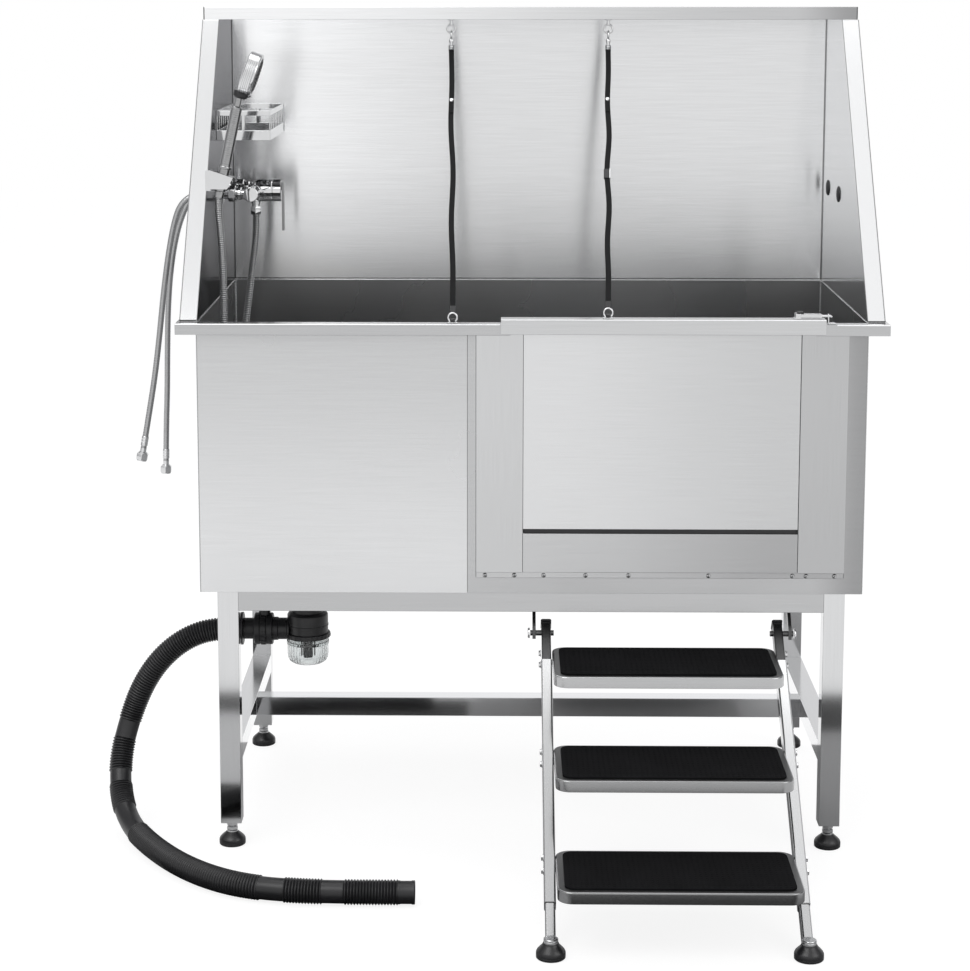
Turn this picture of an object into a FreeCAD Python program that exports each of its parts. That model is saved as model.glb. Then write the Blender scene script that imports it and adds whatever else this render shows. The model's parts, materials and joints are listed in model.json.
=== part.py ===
"""Stainless pet bathtub with a lift-up side door, mixer shower, drain and a hook-on ladder.

Frame: X to the right, Y into the depth, Z up. The origin is on the floor under the middle of the tub.
Lengths are in millimetres.
"""
import FreeCAD, Part
import math
import os

import Sketcher

doc = FreeCAD.newDocument("PetBathtub")
sheet = doc.addObject("Spreadsheet::Sheet", "Sizes")

SIZES = (
    # tub and rim
    ("rim_length", 1272, "rim, overall length"),
    ("rim_depth", 690, "rim, overall depth"),
    ("rim_top", 983, "height of the rim above the floor"),
    ("rim_lip", 20, "height of the folded rim lip"),
    ("tub_length", 1203, "tub walls, outside length"),
    ("tub_depth", 638, "tub walls, outside depth"),
    ("tub_bottom", 486, "height of the tub's underside"),
    ("sheet_gauge", 1.5, "sheet steel thickness"),
    ("seam_x", -115, "seam between the two front panels"),
    # splash panels and top bar
    ("splash_rise", 529, "splash panels above the rim"),
    ("splash_top_depth", 220, "depth of the side panels at the top"),
    ("splash_foot_gap", 8, "flange foot behind the tub's front face"),
    ("flange_width", 32, "outward flange of the side panels"),
    ("bar_length", 1258, "top bar length"),
    ("bar_depth", 50, "top bar depth"),
    ("bar_height", 24, "top bar height"),
    # stand
    ("leg_side", 38, "square leg tube"),
    ("leg_wall", 1.5, "stand tube wall"),
    ("stand_length", 1142, "stand, outside length"),
    ("stand_inset", 4, "stand face behind the tub face"),
    ("top_rail_height", 36, "rail under the tub"),
    ("low_rail_height", 37, "lower rail"),
    ("low_rail_top", 197, "height of the lower rails"),
    ("foot_height", 45, "leveling foot below the leg"),
    ("foot_radius", 24, "leveling foot pad radius"),
    ("stem_radius", 5, "leveling stem radius"),
    ("stem_inside", 30, "stem length inside the leg"),
    ("nut_radius", 9, "leveling lock nut radius"),
    ("nut_height", 7, "leveling lock nut height"),
    # door
    ("door_left", -15, "left edge of the visible door"),
    ("door_width", 497, "visible door width"),
    ("door_bottom", 599, "height of the door sill"),
    ("sill_bottom", 527, "lower edge of the sill cover"),
    ("post_width", 84, "door post width"),
    ("post_proud", 11, "door post in front of the tub face"),
    ("door_gauge", 6, "door panel thickness"),
    ("door_tongue", 20, "door edge inside each post"),
    ("door_play", 1.5, "running clearance of the door"),
    ("seal_height", 8, "door bottom seal height"),
    ("cap_side", 40, "cap beyond each door edge"),
    ("cap_rise", 9, "cap above the rim"),
    ("cap_skirt", 27, "cap skirt height"),
    ("lip_drop", 12, "screwed lip under sill and posts"),
    # plumbing
    ("inlet_pitch", 150, "distance between mixer inlets"),
    ("inlet_setback", 152.5, "mixer centre in front of the back wall"),
    ("inlet_height", 1178, "mixer inlets above the floor"),
    ("mixer_reach", 60, "mixer axis in front of the panel"),
    ("mixer_radius", 14, "mixer body radius"),
    ("mixer_length", 210, "mixer body length"),
    ("union_radius", 10, "mixer union pipe radius"),
    ("cartridge_radius", 22, "cartridge housing radius"),
    ("cartridge_length", 34, "cartridge housing length"),
    ("cap_length", 16, "lever cap length"),
    ("lever_length", 95, "mixer lever length"),
    ("lever_width", 20, "mixer lever width"),
    ("lever_gauge", 4, "mixer lever thickness"),
    ("supply_radius", 6, "supply hose radius"),
    ("shower_radius", 7, "shower hose radius"),
    ("handle_radius", 10.5, "hand shower handle radius"),
    ("handle_length", 158, "hand shower handle length"),
    ("head_radius", 41, "shower head radius"),
    ("head_depth", 26, "shower head thickness"),
    ("drain_x", -420, "drain position along the tub"),
    ("drain_y", -150, "drain position in depth"),
    ("outlet_height", 372, "trap outlet above the floor"),
    ("trap_radius", 38.5, "trap body radius"),
    ("trap_height", 54, "trap body height"),
    ("cup_height", 49, "trap cup height"),
    ("pipe_radius", 20, "trap outlet pipe radius"),
    ("drain_hose_radius", 22, "drain hose radius"),
    # caddy
    ("caddy_width", 103, "caddy width"),
    ("caddy_length", 280, "caddy length"),
    ("caddy_height", 57, "caddy height"),
    ("caddy_bottom", 1285, "caddy above the floor"),
    ("caddy_setback", 12.5, "caddy in front of the back wall"),
    # ladder
    ("ladder_x", 240.5, "middle of the ladder along the tub"),
    ("ladder_gap", 403, "clear width between the stringers"),
    ("stringer_width", 20, "stringer tube width"),
    ("stringer_depth", 30, "stringer tube depth"),
    ("pivot_y", -298, "ladder pin in depth"),
    ("pivot_height", 406, "ladder pin above the floor"),
    ("ladder_run", 517, "ladder foot in front of the pin"),
    ("step_top", 389, "top tread above the floor"),
    ("step_rise", 131, "height between treads"),
    ("step_run", 167, "depth between treads"),
    ("step_back", -320, "rear edge of the top tread"),
    ("tread_depth", 193, "tread depth"),
    ("tread_height", 20, "tread pan height"),
    ("tread_corner", 25, "tread corner radius"),
    ("mat_margin", 12, "steel margin around the mat"),
    ("mat_height", 3, "mat thickness"),
    ("strap_width", 10, "strap width"),
    ("strap_gauge", 2, "strap thickness"),
    ("seat_gap", 0.3, "clearance at a seat"),
)


class Size:
    """A length that carries both its number and the spreadsheet formula it comes from."""

    def __init__(self, text, value):
        self.text = text
        self.value = float(value)

    def join(self, sign, other, value, swapped=False):
        first, second = (text_of(other), self.text) if swapped else (self.text, text_of(other))
        return Size(f"({first} {sign} {second})", value)

    def __add__(self, other):
        return self.join("+", other, self.value + number(other))

    def __radd__(self, other):
        return self.join("+", other, number(other) + self.value, True)

    def __sub__(self, other):
        return self.join("-", other, self.value - number(other))

    def __rsub__(self, other):
        return self.join("-", other, number(other) - self.value, True)

    def __mul__(self, other):
        return self.join("*", other, self.value * number(other))

    def __rmul__(self, other):
        return self.join("*", other, number(other) * self.value, True)

    def __truediv__(self, other):
        return self.join("/", other, self.value / number(other))

    def __neg__(self):
        return Size(f"(0 - {self.text})", -self.value)


def number(size):
    """The plain number of a Size or of a number."""
    return size.value if isinstance(size, Size) else float(size)


def text_of(size):
    """The formula text of a Size or of a number."""
    return size.text if isinstance(size, Size) else repr(float(size))


def hypotenuse(a, b):
    """Length of the slope with legs a and b."""
    return Size(f"sqrt({a.text} * {a.text} + {b.text} * {b.text})", math.hypot(a.value, b.value))


def slope_angle(rise, run):
    """Angle of a slope, in degrees."""
    return Size(f"atan2({text_of(rise)}; {text_of(run)})",
                math.degrees(math.atan2(number(rise), number(run))))


class Sheet:
    """Every driving size as an attribute."""


S = Sheet()
for row, (alias, amount, note) in enumerate(SIZES, 1):
    sheet.set(f"A{row}", note)
    sheet.set(f"B{row}", str(amount))
    sheet.setAlias(f"B{row}", alias)
    setattr(S, alias, Size(f"Sizes.{alias}", amount))
doc.recompute()

AXES = {"x": (FreeCAD.Vector(0, 1, 0), 90), "y": (FreeCAD.Vector(1, 0, 0), -90), "z": (FreeCAD.Vector(0, 0, 1), 0)}
OVERRUN = 5
SUBPARTS = []
DRAIN_NECK = 24
HOLDER_Y = -143
PIN_RADIUS = 5
STEPS = 3
SCREW_EDGE = 16
SCREW_SHARES = (0, 0.084, 0.168, 0.288, 0.411, 0.64, 0.88, 0.919, 1)
FLANGE_INSET = 2
STRAP_TOPS = (-152, 152)
STRAP_FEET = (-141, 136)
SHOWER_END = (-583.4, -143, 1190.9)


def set_size(obj, prop, size):
    """Give a property its number, and its formula when it has one."""
    if isinstance(size, Size):
        obj.setExpression(prop, size.text)
    elif not prop.startswith("Placement"):
        setattr(obj, prop, size)


def place(obj, x, y, z, axis=(0, 0, 1), angle=0):
    """Put an object at a point, turned by an angle about an axis."""
    spot = FreeCAD.Vector(number(x), number(y), number(z))
    obj.Placement = FreeCAD.Placement(spot, FreeCAD.Rotation(FreeCAD.Vector(*axis), number(angle)))
    for letter, size in zip("xyz", (x, y, z)):
        set_size(obj, f"Placement.Base.{letter}", size)
    set_size(obj, "Placement.Rotation.Angle", angle)
    return obj


def box(x, y, z, length, width, height, axis=(0, 0, 1), angle=0):
    """A block from its low corner, turned about that corner."""
    obj = doc.addObject("Part::Box", "Block")
    set_size(obj, "Length", length)
    set_size(obj, "Width", width)
    set_size(obj, "Height", height)
    return place(obj, x, y, z, axis, angle)


def rod(x, y, z, radius, length, along="z"):
    """A round bar from a point, along +X, +Y or +Z."""
    obj = doc.addObject("Part::Cylinder", "Rod")
    set_size(obj, "Radius", radius)
    set_size(obj, "Height", length)
    axis, angle = AXES[along]
    return place(obj, x, y, z, axis, angle)


def leaning_rod(x, y, z, radius, length, angle):
    """A round bar from a point, leaning from +Z towards +X."""
    obj = doc.addObject("Part::Cylinder", "Rod")
    set_size(obj, "Radius", radius)
    set_size(obj, "Height", length)
    return place(obj, x, y, z, (0, 1, 0), angle)


def hexagon(x, y, z, radius, length, along="z"):
    """A six-sided nut blank from a point, along +X, +Y or +Z."""
    obj = doc.addObject("Part::Prism", "Nut")
    obj.Polygon = 6
    set_size(obj, "Circumradius", radius)
    set_size(obj, "Height", length)
    axis, angle = AXES[along]
    return place(obj, x, y, z, axis, angle)


def ring(x, y, z, radius, wire, facing="z"):
    """A wire ring whose hole faces along an axis."""
    obj = doc.addObject("Part::Torus", "Ring")
    set_size(obj, "Radius1", radius)
    set_size(obj, "Radius2", wire)
    axis, angle = AXES[facing]
    return place(obj, x, y, z, axis, angle)


def fuse(*parts):
    """One solid from touching pieces."""
    obj = doc.addObject("Part::MultiFuse", "Joined")
    obj.Shapes = list(parts)
    obj.Refine = True
    return obj


def cut(base, *tools):
    """The base less its tools."""
    for tool in tools:
        obj = doc.addObject("Part::Cut", "Trimmed")
        obj.Base, obj.Tool = base, tool
        base = obj
    return base


def group(*parts):
    """Separate solids kept in one sub-part."""
    obj = doc.addObject("Part::Compound", "Set")
    obj.Links = list(parts)
    return obj


def keep(obj, label):
    """Name a finished sub-part."""
    obj.Label = label
    SUBPARTS.append(obj)
    return obj


def square_tube(x, y, z, length, width, height, wall, open_along):
    """A rectangular tube, open at both ends along one axis."""
    outer = box(x, y, z, length, width, height)
    low = [x + wall, y + wall, z + wall]
    room = [length - wall * 2, width - wall * 2, height - wall * 2]
    index = "xyz".index(open_along)
    low[index] = (x, y, z)[index] - OVERRUN
    room[index] = (length, width, height)[index] + 2 * OVERRUN
    return cut(outer, box(*low, *room))


def origin_plane(body, role):
    """One of a body's own origin planes."""
    return next(item for item in body.Origin.OriginFeatures if item.Role == role)


def outline_sketch(body, role, points):
    """A closed sketch of straight lines whose corners follow the sheet."""
    sketch = body.newObject("Sketcher::SketchObject", "Outline")
    sketch.AttachmentSupport = [(origin_plane(body, role), "")]
    sketch.MapMode = "FlatFace"
    corners = [FreeCAD.Vector(number(u), number(v), 0) for u, v in points]
    for index, corner in enumerate(corners):
        sketch.addGeometry(Part.LineSegment(corner, corners[(index + 1) % len(corners)]), False)
    for index in range(len(corners)):
        sketch.addConstraint(Sketcher.Constraint("Coincident", index, 2, (index + 1) % len(corners), 1))
    for index, (u, v) in enumerate(points):
        for kind, size, own_axis in (("DistanceX", u, -2), ("DistanceY", v, -1)):
            if number(size) == 0:
                sketch.addConstraint(Sketcher.Constraint("PointOnObject", index, 1, own_axis))
                continue
            place_in_list = sketch.addConstraint(
                Sketcher.Constraint(kind, -1, 1, index, 1, number(size)))
            if isinstance(size, Size):
                sketch.setExpression(f"Constraints[{place_in_list}]", size.text)
    return sketch


def plate(role, points, thickness, x=0, y=0, z=0):
    """A flat plate padded from an outline, as a design body."""
    body = doc.addObject("PartDesign::Body", "Plate")
    sketch = outline_sketch(body, role, points)
    pad = body.newObject("PartDesign::Pad", "Pad")
    pad.Profile = sketch
    set_size(pad, "Length", thickness)
    body.Tip = pad
    sketch.Visibility = False
    return place(body, x, y, z)


def lathe(points, x, y, z, axis=(0, 0, 1), angle=0):
    """A turned piece: the outline is (radius, height) about the upright axis."""
    body = doc.addObject("PartDesign::Body", "Turned")
    sketch = outline_sketch(body, "XZ_Plane", points)
    turn = body.newObject("PartDesign::Revolution", "Turn")
    turn.Profile = sketch
    turn.ReferenceAxis = (sketch, ["V_Axis"])
    turn.Angle = 360
    body.Tip = turn
    return place(body, x, y, z, axis, angle)


def rounded_block(x, y, z, length, width, height, radius):
    """A block with its four upright edges rounded, as a design body."""
    body = doc.addObject("PartDesign::Body", "Pan")
    sketch = outline_sketch(body, "XY_Plane", ((0, 0), (length, 0), (length, width), (0, width)))
    pad = body.newObject("PartDesign::Pad", "Pad")
    pad.Profile = sketch
    set_size(pad, "Length", height)
    doc.recompute()
    upright = [f"Edge{i}" for i, edge in enumerate(pad.Shape.Edges, 1)
               if abs(edge.tangentAt(edge.FirstParameter).z) > 0.9]
    fillet = body.newObject("PartDesign::Fillet", "Corners")
    fillet.Base = (pad, upright)
    set_size(fillet, "Radius", radius)
    body.Tip = fillet
    return place(body, x, y, z)


def straight_bar(label, start, end, width, thickness):
    """A flat bar between two points, its width along X."""
    way = end - start
    side = FreeCAD.Vector(1, 0, 0)
    flat = way.cross(side).normalize() * thickness
    side = flat.cross(way).normalize() * width
    corner = start - side / 2 - flat / 2
    loop = [corner, corner + side, corner + side + flat, corner + flat, corner]
    face = Part.Face(Part.makePolygon(loop))
    feature = doc.addObject("Part::Feature", "Strap")
    feature.Shape = face.extrude(way)
    return keep(feature, label)


def cord_tube(label, points, radius):
    """A round tube along straight runs joined by arcs as large as the runs allow."""
    corners = [FreeCAD.Vector(*point) for point in points]
    edges, radii = [], []
    start = corners[0]
    for before, corner, after in zip(corners, corners[1:], corners[2:]):
        arrive, leave = (corner - before), (after - corner)
        half_turn = arrive.getAngle(leave) / 2
        reach = 0.45 * min(arrive.Length, leave.Length)
        radii.append(reach / math.tan(half_turn))
        first = corner - arrive.normalize() * reach
        last = corner + leave.normalize() * reach
        inward = (first + last) / 2 - corner
        sagitta = radii[-1] * (1 / math.cos(half_turn) - 1)
        edges.append(Part.LineSegment(start, first).toShape())
        edges.append(Part.Arc(first, corner + inward.normalize() * sagitta, last).toShape())
        start = last
    edges.append(Part.LineSegment(start, corners[-1]).toShape())
    path = Part.Wire(edges)
    circle = Part.Wire(Part.makeCircle(radius, corners[0], corners[1] - corners[0]))
    feature = doc.addObject("Part::Feature", "Cord")
    feature.Shape = path.makePipeShell([circle], True, False)
    ratio = feature.Shape.Volume / (math.pi * radius ** 2 * path.Length)
    print(f"{label}: length {path.Length:.0f}, volume ratio {ratio:.4f}, "
          f"radii {[round(value) for value in radii]}")
    return keep(feature, label)


# Planes that many pieces share
half_length = S.rim_length / 2
half_depth = S.rim_depth / 2
wall_x = S.tub_length / 2
wall_y = S.tub_depth / 2
inner_x = wall_x - S.sheet_gauge
inner_y = wall_y - S.sheet_gauge
rim_under = S.rim_top - S.sheet_gauge
inlet_y = inner_y - S.inlet_setback
caddy_front = inner_y - S.caddy_setback - S.caddy_length
splash_top = S.rim_top + S.splash_rise
leg_x = S.stand_length / 2
leg_y = wall_y - S.stand_inset
rail_bottom = S.tub_bottom - S.top_rail_height
door_right = S.door_left + S.door_width
door_face = wall_y + S.post_proud


def make_stand():
    """Four legs, the rails under the tub and the lower H of rails."""
    inner_leg_x = leg_x - S.leg_side
    inner_leg_y = leg_y - S.leg_side
    corners = (("front_left", -leg_x, -leg_y), ("front_right", inner_leg_x, -leg_y),
               ("rear_left", -leg_x, inner_leg_y), ("rear_right", inner_leg_x, inner_leg_y))
    leg_length = S.tub_bottom - S.foot_height
    legs = []
    for name, x, y in corners:
        tube = square_tube(x, y, S.foot_height, S.leg_side, S.leg_side, leg_length, S.leg_wall, "z")
        middle_x, middle_y = x + S.leg_side / 2, y + S.leg_side / 2
        plug = box(x + S.leg_wall, y + S.leg_wall, S.foot_height, S.leg_side - S.leg_wall * 2,
                   S.leg_side - S.leg_wall * 2, S.leg_wall * 4)
        bore = rod(middle_x, middle_y, S.foot_height - OVERRUN, S.stem_radius + S.seat_gap,
                   S.leg_wall * 4 + 2 * OVERRUN)
        legs.append(cut(fuse(tube, plug), bore))
        cone = lathe(((0, 0), (S.foot_radius, 0), (S.foot_radius, 7), (S.foot_radius * 0.8, 16),
                      (S.stem_radius * 1.7, 27), (0, 27)), middle_x, middle_y, 0)
        nut = hexagon(middle_x, middle_y, S.foot_height - S.nut_height - S.seat_gap, S.nut_radius,
                      S.nut_height)
        stem = rod(middle_x, middle_y, 20, S.stem_radius, S.foot_height + S.stem_inside - 20)
        keep(fuse(cone, nut, stem), f"leveling_foot_{name}")
    keep(group(*legs[:2]), "front_legs")
    keep(group(*legs[2:]), "rear_legs")
    span_x, span_y = inner_leg_x * 2, inner_leg_y * 2
    along = dict(wall=S.leg_wall, open_along="x")
    across = dict(wall=S.leg_wall, open_along="y")
    high = [square_tube(-inner_leg_x, y, rail_bottom, span_x, S.leg_side, S.top_rail_height, **along)
            for y in (-leg_y, inner_leg_y)]
    high += [square_tube(x, -inner_leg_y, rail_bottom, S.leg_side, span_y, S.top_rail_height, **across)
             for x in (-leg_x, inner_leg_x)]
    keep(group(*high), "top_rails")
    low_z = S.low_rail_top - S.low_rail_height
    low = [square_tube(x, -inner_leg_y, low_z, S.leg_side, span_y, S.low_rail_height, **across)
           for x in (-leg_x, inner_leg_x)]
    low.append(square_tube(-inner_leg_x, -(S.leg_side / 2), low_z, span_x, S.leg_side,
                           S.low_rail_height, **along))
    keep(group(*low), "lower_rails")


def make_tub():
    """The tub's walls, floor and rim."""
    height = rim_under - S.tub_bottom
    ends = [box(x, -wall_y, S.tub_bottom, S.sheet_gauge, S.tub_depth, height)
            for x in (-wall_x, inner_x)]
    keep(group(*ends), "tub_end_walls")
    keep(box(-inner_x, inner_y, S.tub_bottom, inner_x * 2, S.sheet_gauge, height), "tub_wall_back")
    keep(box(-inner_x, -wall_y, S.tub_bottom, inner_x + S.seam_x, S.sheet_gauge, height),
         "front_panel_left")
    right_panel = box(S.seam_x, -wall_y, S.tub_bottom, inner_x - S.seam_x, S.sheet_gauge, height)
    doorway = box(S.door_left, -wall_y - OVERRUN, S.door_bottom, S.door_width, 2 * OVERRUN,
                  height)
    keep(cut(right_panel, doorway), "front_panel_right")
    floor = box(-inner_x, -inner_y, S.tub_bottom, inner_x * 2, inner_y * 2, S.sheet_gauge * 3)
    hole = rod(S.drain_x, S.drain_y, S.tub_bottom - OVERRUN, DRAIN_NECK + 0.5, 4 * OVERRUN)
    keep(cut(floor, hole), "tub_floor")

    lip_z = S.rim_top - S.rim_lip
    ledge_x, ledge_y = half_length - inner_x, half_depth - inner_y
    rear = []
    for x, lip_x in ((-half_length, -half_length), (inner_x, half_length - S.sheet_gauge)):
        top = box(x, -half_depth, rim_under, ledge_x, S.rim_depth, S.sheet_gauge)
        lip = box(lip_x, -half_depth, lip_z, S.sheet_gauge, S.rim_depth, S.rim_lip)
        rear.append(fuse(top, lip))
    top = box(-inner_x, inner_y, rim_under, inner_x * 2, ledge_y, S.sheet_gauge)
    lip = box(-inner_x, half_depth - S.sheet_gauge, lip_z, inner_x * 2, S.sheet_gauge, S.rim_lip)
    keep(group(*rear, fuse(top, lip)), "rim_sides_and_back")
    slot = S.door_tongue + S.door_play * 2
    pieces = []
    reach_left = inner_x + S.door_left - slot
    reach_right = inner_x - door_right - slot
    for start, reach in ((-inner_x, reach_left), (door_right + slot, reach_right)):
        top = box(start, -half_depth, rim_under, reach, ledge_y, S.sheet_gauge)
        lip = box(start, -half_depth, lip_z, reach, S.sheet_gauge, S.rim_lip)
        pieces.append(fuse(top, lip))
    keep(group(*pieces), "rim_front")


def make_splash():
    """Side panels with sloping flanges, the back panel and the bar across the top."""
    foot_y = -wall_y + S.splash_foot_gap
    crest_y = wall_y - S.splash_top_depth
    run = crest_y - foot_y
    slope = hypotenuse(run, S.splash_rise)
    lean = slope_angle(S.splash_rise, run)
    flange_y = foot_y + (run * FLANGE_INSET + S.splash_rise * S.sheet_gauge) / slope
    flange_z = S.rim_top + (S.splash_rise * FLANGE_INSET - run * S.sheet_gauge) / slope
    hole = S.union_radius + 1.5
    for name, side in (("left", -1), ("right", 1)):
        x = -inner_x - S.sheet_gauge if side < 0 else inner_x
        panel = plate("YZ_Plane", ((foot_y, S.rim_top), (inner_y, S.rim_top), (inner_y, splash_top),
                                   (crest_y, splash_top)), S.sheet_gauge, x=x)
        flange_x = -inner_x - S.flange_width if side < 0 else inner_x
        flange = box(flange_x, flange_y, flange_z, S.flange_width,
                     slope - FLANGE_INSET + S.sheet_gauge, S.sheet_gauge, (1, 0, 0), lean)
        shelf = box(flange_x, crest_y, splash_top, S.flange_width, S.splash_top_depth,
                    S.sheet_gauge)
        holes = [rod(x - OVERRUN, inlet_y + offset, S.inlet_height, hole, 3 * OVERRUN, "x")
                 for offset in (-(S.inlet_pitch / 2), S.inlet_pitch / 2)]
        keep(cut(fuse(panel, flange, shelf), *holes), f"splash_{name}")
    keep(box(-inner_x - S.sheet_gauge, inner_y, S.rim_top, wall_x * 2, S.sheet_gauge,
             S.splash_rise), "splash_back")
    keep(square_tube(-(S.bar_length / 2), crest_y, splash_top + S.sheet_gauge, S.bar_length,
                     S.bar_depth, S.bar_height, S.sheet_gauge, "x"), "top_bar")
    plugs = []
    for offset in (-(S.inlet_pitch / 2), S.inlet_pitch / 2):
        y = inlet_y + offset
        flange = rod(inner_x - 3, y, S.inlet_height, hole + 4, 3, "x")
        stem = rod(inner_x - 3, y, S.inlet_height, hole - S.seat_gap, 10, "x")
        plugs.append(fuse(flange, stem))
    keep(group(*plugs), "hole_plugs")


def make_door():
    """Posts, sill, lift-up door with its cap and seal, and the latch."""
    post_top = rim_under
    posts = []
    back = -wall_y
    for x, outer_x in ((S.door_left - S.post_width, S.door_left - S.post_width),
                       (door_right, door_right + S.post_width - S.sheet_gauge)):
        face = box(x, -door_face, S.sill_bottom, S.post_width, S.sheet_gauge, post_top - S.sill_bottom)
        side = box(outer_x, -door_face, S.sill_bottom, S.sheet_gauge, S.post_proud,
                   post_top - S.sill_bottom)
        posts.append(fuse(face, side))
    keep(group(*posts), "door_posts")
    sill = box(S.door_left, -door_face + 2, S.sill_bottom, S.door_width, S.post_proud - 2,
               S.door_bottom - S.sill_bottom)
    lip = box(S.door_left - S.post_width, back - S.sheet_gauge, S.sill_bottom - S.lip_drop,
              S.door_width + S.post_width * 2, S.sheet_gauge, S.lip_drop)
    web = box(S.door_left, back - S.sheet_gauge, S.sill_bottom - S.sheet_gauge, S.door_width,
              S.sheet_gauge, S.sheet_gauge * 2)
    keep(fuse(sill, lip, web), "door_sill")
    first_screw = S.door_left - S.post_width + SCREW_EDGE
    screw_run = S.door_width + S.post_width * 2 - SCREW_EDGE * 2
    screws = []
    for share in SCREW_SHARES:
        head = rod(first_screw + screw_run * share, back - S.sheet_gauge - 1.6, S.sill_bottom - 7, 4,
                   1.6, "y")
        screws.append(head)
    keep(group(*screws), "sill_screws")

    panel_y = -door_face + S.sheet_gauge + S.door_play
    panel_left = S.door_left - S.door_tongue
    panel_z = S.door_bottom + S.seal_height
    panel_width = S.door_width + S.door_tongue * 2
    panel = box(panel_left, panel_y, panel_z, panel_width, S.door_gauge,
                S.rim_top + S.cap_rise - S.sheet_gauge - panel_z)
    keep(panel, "door_panel")
    keep(box(S.door_left + S.door_play, panel_y, S.door_bottom + S.seat_gap,
             S.door_width - S.door_play * 2, S.door_gauge, S.seal_height - S.seat_gap), "door_seal")
    cap_left = S.door_left - S.cap_side
    cap_width = S.door_width + S.cap_side * 2
    cap_top = S.rim_top + S.cap_rise
    cap_front = -half_depth - S.door_play - S.sheet_gauge
    cap_back = -inner_y + S.door_play
    cap_depth = cap_back - cap_front + S.sheet_gauge
    top = box(cap_left, cap_front, cap_top - S.sheet_gauge, cap_width, cap_depth, S.sheet_gauge)
    skirt = box(cap_left, cap_front, cap_top - S.cap_skirt, cap_width, S.sheet_gauge, S.cap_skirt)
    tail = box(cap_left, cap_back, cap_top - S.cap_skirt, cap_width, S.sheet_gauge, S.cap_skirt)
    keep(fuse(top, skirt, tail), "door_cap")

    latch_x = cap_left + cap_width - 56
    middle_y = -half_depth + 15
    base = box(latch_x, middle_y - 11, cap_top, 46, 22, 2)
    ears = [box(latch_x + 2, middle_y + offset, cap_top + 2, 10, 2, 8) for offset in (-10, 8)]
    pin = rod(latch_x + 7, middle_y - 9, cap_top + 6, 2, 18, "y")
    keep(fuse(base, *ears, pin), "latch_base")
    lever = box(latch_x + 4.5, middle_y - 7, cap_top + 3, 44.5, 14, 6)
    eye = rod(latch_x + 7, middle_y - 7 - OVERRUN, cap_top + 6, 2 + S.seat_gap, 14 + 2 * OVERRUN, "y")
    arms = [rod(latch_x + 44, middle_y + offset, cap_top + 5, 1.5, 22, "x") for offset in (-5.2, 5.2)]
    bail = rod(latch_x + 66, middle_y - 7, cap_top + 5, 1.5, 14, "y")
    keep(fuse(cut(lever, eye), *arms, bail), "latch_lever")
    keeper_x = cap_left + cap_width + 4
    foot = box(keeper_x, middle_y - 9, S.rim_top, 14, 18, 2)
    tab = box(keeper_x, middle_y - 3, S.rim_top, 2.5, 6, S.cap_rise + 9)
    keep(fuse(foot, tab), "latch_keeper")


def make_mixer():
    """Wall mixer with its unions, cartridge, turning cap and tilting lever."""
    axis_x = -inner_x + S.mixer_reach
    z = S.inlet_height
    body = rod(axis_x, inlet_y - S.mixer_length / 2, z, S.mixer_radius, S.mixer_length, "y")
    parts = [body]
    unions = []
    for offset in (-(S.inlet_pitch / 2), S.inlet_pitch / 2):
        y = inlet_y + offset
        parts.append(rod(axis_x - 30, y, z, S.union_radius, 30, "x"))
        rosette = rod(-inner_x, y, z, S.union_radius + 13, 5, "x")
        tail = rod(-wall_x - 16, y, z, S.union_radius, 32, "x")
        nut = hexagon(-inner_x + 14, y, z, S.union_radius + 6, 16, "x")
        lock = hexagon(-wall_x - 8, y, z, S.union_radius + 7, 8, "x")
        unions.append(fuse(rosette, tail, nut, lock))
    keep(group(*unions), "mixer_unions")
    housing = rod(axis_x, inlet_y, z, S.cartridge_radius, S.cartridge_length, "x")
    outlet = rod(axis_x, inlet_y, z - 32, 8, 32)
    outlet_nut = hexagon(axis_x, inlet_y, z - 48, 11, 17)
    keep(fuse(*parts, housing, outlet, outlet_nut), "mixer_body")
    cap_x = axis_x + S.cartridge_length + S.seat_gap
    cap = rod(cap_x, inlet_y, z, S.cartridge_radius, S.cap_length, "x")
    hinge_x, hinge_z = cap_x + S.cap_length - 4, z + 14
    slot = box(cap_x + 5, inlet_y - 6, z, S.cap_length, 12, S.cartridge_radius + OVERRUN)
    pin = rod(hinge_x, inlet_y - 7, hinge_z, 2, 14, "y")
    keep(fuse(cut(cap, slot), pin), "mixer_cap")
    blade_x = cap_x + S.cap_length + 1.5
    tongue = box(hinge_x - 3, inlet_y - 5, hinge_z - 5, blade_x - hinge_x + 3, 10, 7)
    hub = rod(hinge_x, inlet_y - 5 - OVERRUN, hinge_z, 2 + S.seat_gap, 10 + 2 * OVERRUN, "y")
    blade = box(blade_x, inlet_y - S.lever_width / 2, hinge_z + 2 - S.lever_length, S.lever_gauge,
                S.lever_width, S.lever_length)
    keep(fuse(cut(tongue, hub), blade), "mixer_lever")


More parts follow.
